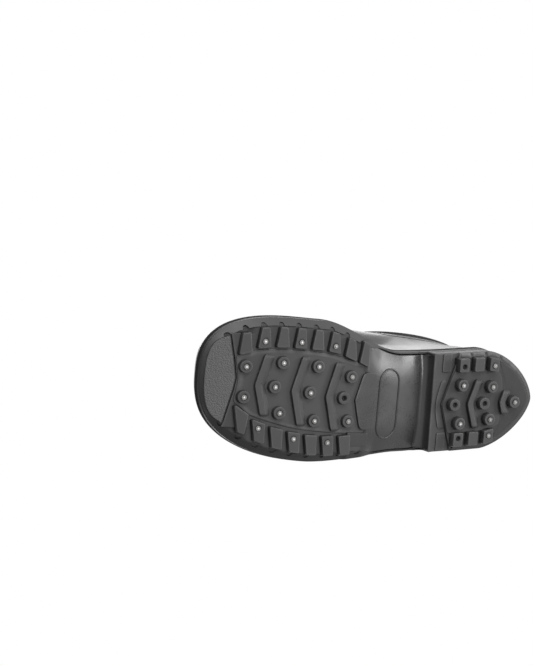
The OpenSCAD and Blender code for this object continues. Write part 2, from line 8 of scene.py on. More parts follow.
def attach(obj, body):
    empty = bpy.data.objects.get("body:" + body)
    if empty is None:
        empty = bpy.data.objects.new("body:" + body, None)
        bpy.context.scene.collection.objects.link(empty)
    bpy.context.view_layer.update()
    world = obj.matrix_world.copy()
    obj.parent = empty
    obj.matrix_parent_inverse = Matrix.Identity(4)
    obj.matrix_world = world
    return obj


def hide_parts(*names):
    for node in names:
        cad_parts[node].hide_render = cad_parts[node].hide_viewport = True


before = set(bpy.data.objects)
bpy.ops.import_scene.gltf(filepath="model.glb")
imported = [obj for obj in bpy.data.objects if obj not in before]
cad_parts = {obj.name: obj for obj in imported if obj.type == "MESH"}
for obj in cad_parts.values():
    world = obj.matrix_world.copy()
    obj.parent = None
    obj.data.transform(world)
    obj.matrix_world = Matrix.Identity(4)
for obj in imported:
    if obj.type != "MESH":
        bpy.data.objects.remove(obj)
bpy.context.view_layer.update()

mm = 0.001  # all shapes below are worked out in millimetres: toe at -Y, inner side of the foot at +X
scene = bpy.context.scene
scene.view_settings.view_transform = "Standard"


# Sole plan and profile

sole = dict(
    length=322.0, ballWidth=121.0, waistWidth=88.0, heelWidth=88.0,
    ballY=-61.0, waistY=28.0, roundY=110.0, ballRun=100.0, heelRun=51.0, toePower=2.7, heelPower=1.6,
    toeSwing=9.0, waistSwing=8.5, heelSwing=1.0,
    treadZ=1.2, toeSpring=14.0, springY=-61.0, springRun=100.0,
    foreSeat=12.5, heelSeat=27.0, seatRiseY=-24.0, seatLevelY=65.0,
    breastY=53.5, heelTop=20.7, archY=-15.0, shankDepth=1.5, archDepth=21.0, archPower=1.6,
    archBegin=[(-42.0, -31.0), (-38.0, -14.0), (15.0, -14.0), (18.5, -18.5)], archBlend=6.0, breastBlend=3.0,
    archRoll=6.0, archRollWidth=30.0, rollY=(-14, 2), rollEaseY=(25, 50), rollAtBreast=0.5,
    lugHeight=4.2, fieldHeight=0.8, padHeight=1.4, heelLugHeight=6.8, heelFieldHeight=1.0, ledgeStep=2.5,
)
toeY, heelY = -sole["length"]/2, sole["length"]/2


# Half a cosine wave from 0 to 1
def ease(t):
    return 0.5 - 0.5*np.cos(np.pi*np.clip(t, 0, 1))


# Eased run from one value to another between two places
def ramp(y, y0, y1, a, b):
    return a + (b - a)*ease((y - y0)/(y1 - y0))


# Superellipse quarter: 1 up to distance 0, and 0 at distance 1
def roundOff(d, power):
    return np.maximum(0, 1 - np.clip(d, 0, 1)**power)**(1/power)


# Cubic step from 0 to 1, level at both ends
def smoothStep(t):
    t = np.clip(t, 0, 1)
    return t*t*(3 - 2*t)


# Directions at length 1
def unit(v):
    return v/np.linalg.norm(v, axis=-1, keepdims=True)


# Running length along a line of places, from 0 at the first
def runAlong(line):
    return np.concatenate([[0], np.cumsum(np.linalg.norm(np.diff(line, axis=0), axis=1))])


# Places in a plan with a height for each
def atHeight(plan, z):
    return np.concatenate([plan, z[..., None]], -1)


# Half the width: eased from ball to waist to heel, and rounded off at both ends
def halfWidth(y):
    fore = ramp(y, sole["ballY"], sole["waistY"], sole["ballWidth"], sole["waistWidth"])
    rear = ramp(y, sole["waistY"], sole["roundY"], sole["waistWidth"], sole["heelWidth"])
    width = np.where(y < sole["waistY"], fore, rear)
    toe = roundOff((sole["ballY"] - y)/sole["ballRun"], sole["toePower"])
    return width/2*toe*roundOff((y - sole["roundY"])/sole["heelRun"], sole["heelPower"])


# The middle line swings inwards at the toe and outwards at the waist
def middleX(y):
    toe = sole["toeSwing"]*np.clip((sole["ballY"] - y)/sole["ballRun"], 0, None)**1.3
    fore = ramp(y, sole["ballY"], sole["waistY"], 0, -sole["waistSwing"])
    rear = ramp(y, sole["waistY"], heelY, -sole["waistSwing"], -sole["heelSwing"])
    return np.where(y < sole["ballY"], toe, np.where(y < sole["waistY"], fore, rear))


# Sole's edge at a turn in degrees: 0 toe, 90 inner side, 180 heel, 270 outer side
def edgeAt(turn):
    turn = np.asarray(turn, float)
    y = toeY*np.cos(np.radians(turn))
    side = np.where(np.sin(np.radians(turn)) < 0, -1.0, 1.0)
    return np.stack([middleX(y) + side*halfWidth(y), y], -1)


# Outward direction square to the edge, from its two neighbours a degree away
def outwardAt(turn):
    step = unit(edgeAt(turn + 1.0) - edgeAt(turn - 1.0))
    return np.stack([step[..., 1], -step[..., 0]], -1)


# The edge moved in by a distance, square to itself
def insetAt(turn, inset):
    turn = np.asarray(turn, float)
    return edgeAt(turn) - np.asarray(inset, float)[..., None]*outwardAt(turn)


# Place at a distance in from one edge of the sole
def fromEdge(side, y, inset):
    y = np.asarray(y, float)
    return np.stack(np.broadcast_arrays(middleX(y) + side*(halfWidth(y) - inset), y), -1)


# Turn at which the inner edge passes a place along the sole
def turnAt(y):
    return math.degrees(math.acos(y/toeY))


# Turns spaced evenly along the edge, by its running length
def evenTurns(count):
    fine = np.linspace(0, 360, 7201)
    run = runAlong(edgeAt(fine))
    return np.interp(np.linspace(0, run[-1], count, endpoint=False), run, fine)


# Faces of the lugs: level, and before the ball rising with the square of the distance
def treadZ(y):
    return sole["treadZ"] + sole["toeSpring"]*(np.clip(sole["springY"] - y, 0, None)/sole["springRun"])**2


# Seat of the upper and the insole: eased from the forefoot's thickness to the heel's
def seatZ(y):
    return treadZ(y) + ramp(y, sole["seatRiseY"], sole["seatLevelY"], sole["foreSeat"], sole["heelSeat"])


# Floor between the forefoot's lugs: their height above the faces
def floorZ(y):
    return treadZ(y) + sole["lugHeight"]


# Field raised from that floor towards the faces
def fieldZ(y):
    return floorZ(y) - sole["fieldHeight"]


# Floor between the heel's lugs: their height above the faces
def heelFloorZ(y):
    return treadZ(y) + sole["heelLugHeight"]


# Field raised from the heel's floor
def heelFieldZ(y):
    return heelFloorZ(y) - sole["heelFieldHeight"]


# Ledge before the heel's V step: one step above its floor
def ledgeZ(y):
    return heelFloorZ(y) + sole["ledgeStep"]


# The arch deepens with a power of the distance from the shank to the breast
def archZ(y):
    t = np.clip((y - sole["archY"])/(sole["breastY"] - sole["archY"]), 0, 1)
    return sole["treadZ"] + sole["shankDepth"] + (sole["archDepth"] - sole["shankDepth"])*t**sole["archPower"]


# Across, the arch is crowned: it rolls away with the square of the nearness to an edge, less so at the breast
def archRollZ(x, y):
    inset = halfWidth(y) - np.abs(x - middleX(y))
    run = ramp(y, *sole["rollY"], 0, sole["archRoll"])*ramp(y, *sole["rollEaseY"], 1, sole["rollAtBreast"])
    return run*np.clip(1 - inset/sole["archRollWidth"], 0, 1)**2


# Underside of the sole's body: the lugs' floor, then the arch, which begins just behind the last lug of each
# side and further back between them, then the top of the heel block
def bodyZ(x, y):
    begin = np.interp(x, *np.transpose(sole["archBegin"]))
    low = floorZ(y) + (archZ(y) - floorZ(y))*smoothStep((y - begin)/sole["archBlend"])
    return low + (sole["heelTop"] - low)*ease((y - sole["breastY"] - sole["breastBlend"])/sole["breastBlend"])


# Meshes from grids of places

# Each cell of a grid is a quad of four neighbours, wrapped round where the grid closes on itself
def gridFaces(rows, cols, wrapRows, wrapCols):
    i = np.arange(rows if wrapRows else rows - 1)[:, None]
    j = np.arange(cols if wrapCols else cols - 1)[None, :]
    below, beside = (i + 1) % rows, (j + 1) % cols
    return np.stack([i*cols + j, i*cols + beside, below*cols + beside, below*cols + j], -1).reshape(-1, 4)


# One part of a piece: a grid of places, its faces, and marks spread over it for the finish to read
def gridPart(points, wrapRows=False, wrapCols=False, **marks):
    rows, cols = points.shape[:2]
    flat = {name: np.broadcast_to(mark, (rows, cols)).ravel() for name, mark in marks.items()}
    return dict(points=points.reshape(-1, 3), faces=gridFaces(rows, cols, wrapRows, wrapCols), marks=flat)


# One object from its parts: poles and seams are merged, faces turned outwards, marks kept as point values
def makePiece(name, parts, material, nodes):
    starts = np.cumsum([0] + [len(part["points"]) for part in parts])
    points = np.concatenate([part["points"] for part in parts])*mm
    faces = np.concatenate([part["faces"] + start for part, start in zip(parts, starts)])
    mesh = bpy.data.meshes.new(name)
    mesh.from_pydata(points.tolist(), [], faces.tolist())
    for mark in sorted({mark for part in parts for mark in part["marks"]}):
        values = [part["marks"].get(mark, np.zeros(len(part["points"]))) for part in parts]
        layer = mesh.attributes.new(mark, "FLOAT", "POINT")
        layer.data.foreach_set("value", np.concatenate(values).astype(np.float32))
    tidy = bmesh.new()
    tidy.from_mesh(mesh)
    bmesh.ops.remove_doubles(tidy, verts=tidy.verts[:], dist=1e-6)
    bmesh.ops.dissolve_degenerate(tidy, edges=tidy.edges[:], dist=1e-7)
    bmesh.ops.recalc_face_normals(tidy, faces=tidy.faces[:])
    tidy.to_mesh(mesh)
    tidy.free()
    mesh.polygons.foreach_set("use_smooth", np.ones(len(mesh.polygons), bool))
    mesh.update()
    piece = bpy.data.objects.new(name, mesh)
    scene.collection.objects.link(piece)
    mesh.materials.append(material)
    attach(piece, "root")
    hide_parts(*nodes)
    print("made", name, len(mesh.polygons), "faces")


# Closed line resampled at an even spacing along its running length
def evenLoop(places, spacing):
    closed = np.concatenate([places, places[:1]])
    run = runAlong(closed)
    at = np.linspace(0, run[-1], max(12, int(run[-1]/spacing)), endpoint=False)
    return np.stack([np.interp(at, run, closed[:, k]) for k in range(closed.shape[1])], -1)


# Closed curve through places (Catmull-Rom), resampled at an even spacing
def softLoop(places, spacing):
    p = np.asarray(places, float)
    t = np.linspace(0, 1, 24, endpoint=False)[None, :, None]
    a, b, c, d = (np.roll(p, k, 0)[:, None, :] for k in (1, 0, -1, -2))
    curve = 0.5*(2*b + (c - a)*t + (2*a - 5*b + 4*c - d)*t**2 + (3*b - a - 3*c + d)*t**3)
    return evenLoop(curve.reshape(-1, p.shape[1]), spacing)


# The loop itself, or turned round where its shoelace sum is negative
def anticlockwise(loop):
    after = np.roll(loop, -1, 0)
    return loop[::-1] if np.sum(loop[:, 0]*after[:, 1] - after[:, 0]*loop[:, 1]) < 0 else loop


# Polygon with each corner turned on an arc: the arc's centre lies where both edges are one radius away
def roundedLoop(corners, radius, arcSteps=6, edgeSteps=4):
    p = anticlockwise(np.asarray(corners, float))
    along = unit(np.roll(p, -1, 0) - p)
    after = np.stack([along[:, 1], -along[:, 0]], -1)
    before = np.roll(after, 1, 0)
    centre = p - radius*(before + after)/(1 + np.sum(before*after, 1, keepdims=True))
    first = np.arctan2(before[:, 1], before[:, 0])
    bend = (np.arctan2(after[:, 1], after[:, 0]) - first + np.pi) % (2*np.pi) - np.pi
    angle = first[:, None] + bend[:, None]*np.linspace(0, 1, arcSteps)[None, :]
    arc = centre[:, None, :] + radius*np.stack([np.cos(angle), np.sin(angle)], -1)
    t = np.linspace(0, 1, edgeSteps + 2)[None, 1:-1, None]
    edge = arc[:, -1:, :]*(1 - t) + np.roll(arc, -1, 0)[:, :1, :]*t
    return np.concatenate([arc, edge], 1).reshape(-1, 2)


# Outward directions of an anticlockwise loop, square to the chord between a place's two neighbours
def loopOutward(loop):
    chord = unit(np.roll(loop, -1, 0) - np.roll(loop, 1, 0))
    return np.stack([chord[:, 1], -chord[:, 0]], -1)


# Moulded edges: turns round an edge, how far in and down a chamfer is at each, how worn each ring is, the gap between
# an edge and its wall, the ring just inside it, and the painted shade in sockets and round studs
mould = dict(
    quarter=np.radians(np.linspace(0, 90, 5)),
    chamferIn=(0.0, 0.05, 0.5, 0.94, 1.0), chamferDown=(1.12, 1.0, 0.5, 0.08, 0.0),
    blockWear=(0.4, 1, 1, 1, 0.7, 0.25), stripWear=(0, 0.4, 1, 1, 1, 0.5),
    wallGap=0.3, faceLip=0.35, boreShade=0.95, moatShade=0.6,
)


# Moulded block: the loop goes down a drafted wall, round an edge radius or chamfer and in over its face to its middle.
# A bore is a list of (radius, depth) rings round the middle; flare widens the root towards the toe; band is how
# worn the first rings of the face are.
def block(loop, faceZ, depth, draft, radius, faceRings, middle=None, bore=(), flare=0.0, chamfer=None, band=(),
          **marks):
    loop = anticlockwise(loop)
    out = loopOutward(loop)
    middle = loop.mean(0) if middle is None else np.asarray(middle, float)
    turn = mould["quarter"]
    lip, dip = (np.repeat(v[:, None], len(loop), 1) for v in (-radius*(1 - np.cos(turn)), radius*(1 - np.sin(turn))))
    if chamfer:
        aside = np.clip((out[:, 1] + 0.9)/0.4, 0, 1)  # all round but where the loop faces the toe
        lip = lip + (-chamfer[0]*np.array(mould["chamferIn"])[:, None] - lip)*aside
        dip = dip + (chamfer[1]*np.array(mould["chamferDown"])[:, None] - dip)*aside
    share = np.linspace(0, 1, 9 if flare else 3)[:-1, None]
    wall = depth + (dip[:1] + mould["wallGap"] - depth)*share
    outset = np.concatenate([draft*(1 - share) + 0*wall, lip, lip[-1:] - mould["faceLip"]*radius])
    drop = np.concatenate([wall, dip, 0*dip[:1]])
    rings = loop[None] + outset[..., None]*out[None]
    if flare:
        high = np.clip((drop - (depth - flare))/flare, 0, 1)
        reach = flare*(1 - np.sqrt(1 - high**2))
        rings = rings + (reach*np.clip(-out[None, :, 1], 0, 1)**2)[..., None]*np.array([0.0, -1.0])
    spoke = rings[-1] - middle
    reach = np.linalg.norm(spoke, axis=1, keepdims=True)
    spoke = spoke/np.maximum(reach, 1e-9)
    inner = bore[0][0] if bore else 0.0
    share = np.linspace(1, 0, faceRings)[1:, None, None]
    face = middle + spoke[None]*(inner + (reach[None] - inner)*share)
    sink = np.array([depthAt for _, depthAt in bore[1:]])
    hole = middle + spoke[None]*np.array([at for at, _ in bore[1:]])[:, None, None] if bore else face[:0]
    ground = np.concatenate([np.broadcast_to(middle, (1, len(loop), 2)), rings, face, hole])
    flat = np.zeros((len(face), len(loop)))
    drops = np.concatenate([flat[:1] + depth, drop, flat, sink[:, None] + 0*flat[:1]])
    z = faceZ(ground[..., 1]) + drops
    if bore:
        z[-len(sink):] = faceZ(middle[1]) + sink[:, None]
    unworn = np.zeros(len(face) + len(sink) - len(band))
    edge = np.concatenate([np.zeros(1 + len(wall)), mould["blockWear"], band, unworn])
    # painted shade: darker down each wall towards its root
    low = np.sqrt(np.clip(drops/max(depth, 1e-6), 0, 1))
    # painted shade down an empty socket's bore and in the moat round a stud
    if bore:
        shade = np.minimum(low[-len(sink):], mould["moatShade"])
        low[-len(sink):] = np.where(sink[:, None] > 1, mould["boreShade"], shade)
    return gridPart(atHeight(ground, z), wrapCols=True, edge=edge[:, None], low=low, **marks)


# Moulded strip between two lines with matching places: a wall, an edge radius, the face, and the same again
def strip(front, rear, faceZ, depth, radius, faceRows, worn=1.0, **marks):
    span = rear - front
    length = np.linalg.norm(span, axis=1)[:, None]
    span = span/np.maximum(length, 1e-9)
    fit = np.minimum(1, 0.4*length/radius)
    turn = mould["quarter"][None]
    lip, dip = radius*fit*(1 - np.cos(turn)), radius*fit*(1 - np.sin(turn))
    inside = radius*fit + (length - 2*radius*fit)*np.linspace(0, 1, faceRows)[None, 1:-1]
    gap = mould["wallGap"]
    along = np.concatenate([0*length - gap, lip, inside, (length - lip)[:, ::-1], length + gap], 1)
    drop = np.concatenate([0*length + depth, dip, 0*inside, dip[:, ::-1], 0*length + depth], 1)
    plan = front[:, None] + span[:, None]*along[..., None]
    points = atHeight(plan, faceZ(plan[..., 1]) + drop)
    ends = points[[0, -1]].mean(1, keepdims=True)*np.ones((1, points.shape[1], 1))
    points = np.concatenate([ends[:1], points, ends[1:]])
    ring = np.concatenate([mould["stripWear"], np.zeros(faceRows - 2), mould["stripWear"][::-1]])
    # painted shade at the root of each wall
    low = np.zeros(points.shape[1])
    low[[0, -1]] = 1
    return gridPart(points, wrapCols=True, edge=worn*ring[None], low=low[None], **marks)


# A bar's section from front to back: places in mm and then in shares of its width, rises in shares of its height, wear,
# and the number of front rows with painted shade
barSection = dict(
    front=(0.5, 0.3, 0.12, 0.1, 0.2, 0.45, 0.85, 1.5), slope=(0.45, 0.55, 0.7, 0.85, 1.0), tail=0.4, root=1.2,
    rise=(0, 0.45, 0.8, 0.93, 0.985, 1, 1, 0.99, 0.88, 0.52, 0.17, 0.02), crest=0.3, endWidth=0.12, endRise=0.02,
    wear=(0, 0, 0.1, 0.5, 1, 0.9, 0.5, 0.1, 0, 0, 0, 0, 0, 0), shaded=4,
)


# Bar with a steep front and a long slope behind it, carried along a V line with rounded ends
def bar(place, baseZ, span, sweep, height, width, rounding, soften=0.9):
    u = np.concatenate([[-1], np.sin(np.linspace(-np.pi/2, np.pi/2, 81)), [1]])
    back = np.concatenate([barSection["front"], np.array(barSection["slope"])*width, [width + barSection["tail"]]])
    root = [-barSection["root"]/height]
    rise = np.concatenate([root, barSection["rise"], root])
    near = np.clip(1 - span*(1 - np.abs(u))/rounding, 0, 1)
    taper = np.sqrt(np.clip(1 - near**2, 0, 1))[None]
    x = u*span
    vee = math.tan(math.radians(sweep))*(np.sqrt(x**2 + soften**2) - soften)
    crest, thin, flat = barSection["crest"]*width, barSection["endWidth"], barSection["endRise"]
    y = place[1] + (vee[None] + crest + (back[:, None] - crest)*(thin + (1 - thin)*taper))
    high = rise[:, None]*height*np.where(rise[:, None] > 0, flat + (1 - flat)*taper, 1)
    points = np.stack([np.broadcast_to(place[0] + x[None], y.shape), y, baseZ(y) - high], -1)
    ends = points[:, [0, -1]].mean(0, keepdims=True)
    points[:, 0], points[:, -1] = ends[:, 0], ends[:, 1]
    # painted shade down the steep front, darker towards its root
    low = np.where(np.arange(len(back)) < barSection["shaded"], np.sqrt(np.clip(1 - rise, 0, 1)), 0)
    return gridPart(points, wrapRows=True, edge=np.array(barSection["wear"])[:, None], low=low[:, None])


# Closed tube of a small round section along a loop on a surface, darkened by half with painted shade
def bead(loop, baseZ, radius):
    out = loopOutward(loop)
    turn = np.radians(np.linspace(0, 360, 10, endpoint=False))
    ground = loop[None] + radius*np.cos(turn)[:, None, None]*out[None]
    z = baseZ(loop[:, 0], loop[:, 1])[None] + radius*np.sin(turn)[:, None]
    return gridPart(atHeight(ground, z), wrapRows=True, wrapCols=True, edge=0.0, low=0.5, gloss=1.0)


# Shader maths as plain expressions

class Wire:
    def __init__(self, board, socket):
        self.board, self.socket = board, socket

    def __add__(self, other):
        return self.board.maths("ADD", self, other)

    def __sub__(self, other):
        return self.board.maths("SUBTRACT", self, other)

    def __rsub__(self, other):
        return self.board.maths("SUBTRACT", other, self)

    def __mul__(self, other):
        return self.board.maths("MULTIPLY", self, other)

    __radd__, __rmul__ = __add__, __mul__


class Finish:
    def __init__(self, name, kind="materials"):
        self.owner = getattr(bpy.data, kind).new(name)
        self.owner.use_nodes = True
        self.tree = self.owner.node_tree
        self.tree.nodes.clear()

    # Any node: its settings first, then values or wires for its sockets
    def node(self, kind, settings=None, sockets=None, output=0):
        made = self.tree.nodes.new(kind)
        for key, value in (settings or {}).items():
            setattr(made, key, value)
        for key, value in (sockets or {}).items():
            if isinstance(value, Wire):
                self.tree.links.new(value.socket, made.inputs[key])
            else:
                made.inputs[key].default_value = value
        return Wire(self, made.outputs[output]) if len(made.outputs) else made

    # One Math node on two values or wires
    def maths(self, operation, a, b):
        return self.node("ShaderNodeMath", {"operation": operation}, {0: a, 1: b})

    # Cubic step from 0 at the low value to 1 at the high one
    def between(self, value, low, high):
        return self.node("ShaderNodeMapRange", {"interpolation_type": "SMOOTHSTEP"},
                         {"Value": value, "From Min": low, "From Max": high})

    # The middle of a noise's range spread evenly from one value to another
    def spread(self, value, first, last):
        sockets = {"Value": value, "From Min": 0.3, "From Max": 0.7, "To Min": first, "To Max": last}
        return self.node("ShaderNodeMapRange", {}, sockets)

    # Mix of two colours
    def colours(self, share, a, b):
        return self.node("ShaderNodeMix", {"data_type": "RGBA"}, {0: share, 6: a, 7: b}, 2)

    def place(self):
        return self.node("ShaderNodeTexCoord", output="Object")

    # A piece's own point values
    def mark(self, name):
        return self.node("ShaderNodeAttribute", {"attribute_name": name}, output="Fac")

    def noise(self, where, scale, detail, rough):
        sockets = {"Vector": where, "Scale": scale, "Detail": detail, "Roughness": rough}
        return self.node("ShaderNodeTexNoise", {}, sockets, "Fac")

    # Coordinates scaled along each axis
    def stretch(self, where, scale):
        return self.node("ShaderNodeMapping", {}, {"Vector": where, "Scale": scale})

    def bump(self, height, strength, distance, normal=None):
        sockets = {"Height": height, "Strength": strength, "Distance": distance}
        if normal is not None:
            sockets["Normal"] = normal
        return self.node("ShaderNodeBump", {}, sockets)

    # Shader and output, with the sockets' spaces written as underscores
    def close(self, **sockets):
        named = {key.replace("_", " "): value for key, value in sockets.items()}
        surface = self.node("ShaderNodeBsdfPrincipled", {}, named)
        self.node("ShaderNodeOutputMaterial", {}, {"Surface": surface})
        return self.owner


# Grey of one level, its blue scaled by a tint
def grey(level, tint=1.0):
    return (level, level, level*tint, 1)


blackRubber = dict(dark=0.010, pale=0.021, dust=0.07, rim=0.12, upperRough=(0.22, 0.38), bandRough=(0.45, 0.6),
                   upperShine=0.2, bandShine=0.12)


# Black moulded rubber: cloudy gloss, faint streaks, dust in patches and along seams, a paler rim with painted light on
# its inner side, a fine skin grain
def blackRubberFinish(name, rough, shine):
    f = Finish(name)
    at = f.place()
    cloud = f.noise(at, 14.0, 4.0, 0.6)
    streak = f.noise(f.stretch(at, (60, 60, 14)), 1.0, 4.0, 0.6)
    speck = f.between(f.noise(at, 900.0, 2.0, 0.6), 0.60, 0.74)
    seam = f.mark("seam")
    line = 1 - f.between(f.maths("ABSOLUTE", seam, 0), 0.10, 0.55)
    dusty = f.between(cloud, 0.5, 0.72)*0.35 + line*0.25 + speck*0.12
    base = f.colours(streak, grey(blackRubber["dark"], 1.03), grey(blackRubber["pale"], 1.03))
    colour = f.colours(dusty*0.4, base, grey(blackRubber["dust"], 0.97))
    # paler rim: its own grey, with painted light towards the inner side and a painted highlight beside the toe
    colour = f.colours(f.mark("rim")*(0.75 + cloud*0.5), colour, grey(blackRubber["rim"]))
    gloss = f.spread(cloud*0.7 + streak*0.3, *rough)
    skin = f.noise(at, 1500.0, 2.0, 0.5)*0.6 + f.noise(at, 260.0, 3.0, 0.5)*0.4
    ply = f.between(seam, -0.35, 0.35) - line*0.5
    normal = f.bump(ply, 0.6, 0.0006, f.bump(skin, 0.06, 0.0004))
    return f.close(Base_Color=colour, Roughness=gloss + speck*0.1, Normal=normal, Specular_IOR_Level=shine)


# Colours: edge is the pale of worn edges and of painted light, low the painted shade in recesses, and the colour after
# low a broad wash of painted shade
greyRubber = dict(dark=0.033, pale=0.058, edge=0.14, pebble=0.125, low=0.012, soil=0.02, rough=(0.52, 0.72),
                  archGloss=0.32, shine=0.35)


# Matte grey tread rubber: mottled, paler on its worn edges and with painted light on the arch and the heel's inner
# bevel, darker with painted shade in recesses and in a broad wash, pebbled on the toe pad and smoother on the arch
def greyRubberFinish():
    f = Finish("matteGreyRubber")
    at = f.place()
    mottle = f.noise(at, 45.0, 5.0, 0.62)
    fine = f.noise(at, 700.0, 3.0, 0.6)
    edge, low, pebble, gloss, soil = (f.mark(name) for name in ("edge", "low", "pebble", "gloss", "soil"))
    base = f.colours(mottle*0.7 + fine*0.3, grey(greyRubber["dark"]), grey(greyRubber["pale"]))
    # paler on worn edges; where the edge mark lies on the arch and the heel's inner bevel it is painted light
    worn = f.colours(edge*f.between(mottle, 0.25, 0.7)*0.65, base, grey(greyRubber["edge"]))
    grit = f.node("ShaderNodeTexVoronoi", {"feature": "F1"}, {"Vector": at, "Scale": 850.0}, "Distance")
    paler = f.colours(pebble*(0.4 + (1 - grit)*0.4), worn, grey(greyRubber["pebble"]))
    # painted shade: a darker wash over the arch's outer side, the shank's shoulder and the heel
    paintedShadeColour = f.colours(soil*(0.55 + mottle*0.5), paler, grey(greyRubber["soil"]))
    # painted shade: darker in recesses, down walls, in sockets and along the rim's inner edge
    colour = f.colours(low*0.92, paintedShadeColour, grey(greyRubber["low"]))
    rough = f.spread(fine*0.5 + mottle*0.5, *greyRubber["rough"])
    skin = fine*0.7 + f.noise(at, 2200.0, 2.0, 0.5)*0.3
    normal = f.bump((1 - grit)*pebble, 0.7, 0.0006, f.bump(skin*(1 - gloss*0.72), 0.22, 0.0004))
    return f.close(Base_Color=colour, Roughness=rough - gloss*greyRubber["archGloss"], Normal=normal,
                   Specular_IOR_Level=greyRubber["shine"])


knit = dict(dark=0.02, pale=0.06, worn=0.10, ribs={"X": 260.0, "Y": 200.0}, roughness=0.85, sheen=0.25)


# Knitted lining: two crossed fine waves, with fluff
def linerFinish():
    f = Finish("knitLining")
    at = f.place()
    across, along = (f.node("ShaderNodeTexWave", {"wave_type": "BANDS", "bands_direction": way},
                            {"Vector": at, "Scale": scale, "Distortion": 1.2, "Detail": 1.0}, "Fac")
                     for way, scale in knit["ribs"].items())
    fluff = f.noise(at, 420.0, 4.0, 0.6)
    loops = across*along
    worn = f.between(f.noise(at, 18.0, 3.0, 0.5), 0.35, 0.7)
    colour = f.colours(loops*0.6 + fluff*0.3, grey(knit["dark"], 1.05), grey(knit["pale"], 1.05))
    colour = f.colours(worn*0.25, colour, grey(knit["worn"]))
    normal = f.bump(loops + fluff*0.5, 0.6, 0.0005)
    return f.close(Base_Color=colour, Roughness=knit["roughness"] + fluff*0.1, Normal=normal,
                   Sheen_Weight=knit["sheen"])


studMetal = dict(jacket=(0.17, 0.167, 0.163, 1), stain=(0.07, 0.068, 0.066, 1), jacketRough=0.42,
                 pinDark=(0.30, 0.30, 0.31, 1), pinPale=(0.62, 0.62, 0.63, 1), pinRough=0.34)


# Turned steel jacket: fine scratches and a few darker stains
def steelFinish():
    f = Finish("turnedSteel")
    at = f.place()
    scratch = f.noise(f.stretch(at, (900, 900, 3000)), 1.0, 3.0, 0.6)
    stain = f.between(f.noise(at, 350.0, 4.0, 0.6), 0.52, 0.72)
    colour = f.colours(stain*0.6, studMetal["jacket"], studMetal["stain"])
    rough = studMetal["jacketRough"] + scratch*0.2 + stain*0.15
    return f.close(Base_Color=colour, Metallic=1.0, Roughness=rough, Normal=f.bump(scratch, 0.15, 0.0002))


# Sintered hard-metal pin: grey, speckled by its grain
def hardMetalFinish():
    f = Finish("sinteredHardMetal")
    at = f.place()
    grain = f.noise(at, 2600.0, 3.0, 0.7)
    colour = f.colours(grain, studMetal["pinDark"], studMetal["pinPale"])
    return f.close(Base_Color=colour, Metallic=1.0, Roughness=studMetal["pinRough"] + grain*0.25,
                   Normal=f.bump(grain, 0.25, 0.0002))


rubberBlack = blackRubberFinish("satinBlackRubber", blackRubber["upperRough"], blackRubber["upperShine"])
rubberBand = blackRubberFinish("dullBlackRubber", blackRubber["bandRough"], blackRubber["bandShine"])
rubberGrey, lining = greyRubberFinish(), linerFinish()
steel, hardMetal = steelFinish(), hardMetalFinish()
for nodeName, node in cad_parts.items():
    if nodeName.endswith(("_jackets", "_pins")):
        node.data.materials.clear()
        node.data.materials.append(steel if nodeName.endswith("_jackets") else hardMetal)
print("finishes ready")


# Upper

upper = dict(
    inset=2.95, gap=0.15, wall=2.2, collarFront=127.0, collarBack=9.0, collarWidth=90.0, collarX=-1.5, heelPower=0.74,
    topFront=107.0, topSide=100.0, topBack=102.0, sideTurn=100.0,
    domeShare=0.45, domeReach=0.3, domePower=2.4, bend=0.55, plyRise=0.8, plyEdge=1.6,
    capTurn=52.0, capTop=0.6, capPower=0.8, capFall=0.4,
    quarterFront=25.0, quarterLow=65.0, quarterPower=1.3, quarterEnd=3.0, bandUp=9.0,
    counterTurn=150.0, counterDip=0.35, counterWidth=1.4, columns=560, outerRows=112, innerRows=34, rowTurn=20.0,
)
noSeam = 4.0  # a seam mark is a distance in mm, and this is too far from a seam to show


# Turn folded onto one side: 0 at the toe, 180 at the heel
def foldTurn(turn):
    return 180 - np.abs(180 - np.mod(turn, 360))


# Foot of the upper: the edge moved in, a gap above the seat
def footAt(turn):
    plan = insetAt(turn, upper["inset"])
    return plan, seatZ(plan[..., 1]) + upper["gap"]


# Mouth: an ellipse in plan, made fuller at the heel by a power, whose height is eased from front to side to back
def mouthAt(turn):
    t = np.radians(turn)
    front, back = toeY + upper["collarFront"], heelY - upper["collarBack"]
    y = front + (back - front)*(0.5 - 0.5*np.cos(t))
    fold = foldTurn(turn)
    side = upper["sideTurn"]
    z = np.where(fold < side, ramp(fold, 0, side, upper["topFront"], upper["topSide"]),
                 ramp(fold, side, 180, upper["topSide"], upper["topBack"]))
    wide = np.sin(t)
    wide = np.where(np.cos(t) < 0, np.sign(wide)*np.abs(wide)**upper["heelPower"], wide)
    return np.stack([upper["collarX"] + upper["collarWidth"]/2*wide, y], -1), z


# A line of the upper climbs a superelliptic dome off the sole's edge, then runs straight to the collar
def upperAt(turn, climb):
    turn, climb = np.broadcast_arrays(np.asarray(turn, float), np.asarray(climb, float))
    foot, footZ = footAt(turn)
    mouth, mouthZ = mouthAt(turn)
    t = np.radians(90*np.clip(climb/upper["bend"], 0, 1))
    power, reach = 2/upper["domePower"], upper["domeReach"]
    straight = reach + (1 - reach)*(climb - upper["bend"])/(1 - upper["bend"])
    onDome = climb < upper["bend"]
    along = np.where(onDome, reach*(1 - np.clip(np.cos(t), 0, 1)**power), straight)
    rise = np.where(onDome, np.clip(np.sin(t), 0, 1)**power, 1)
    plan = foot + (mouth - foot)*along[..., None]
    lift = (1 - upper["domeShare"])*along + upper["domeShare"]*rise
    return atHeight(plan, footZ + (mouthZ - footZ)*lift)


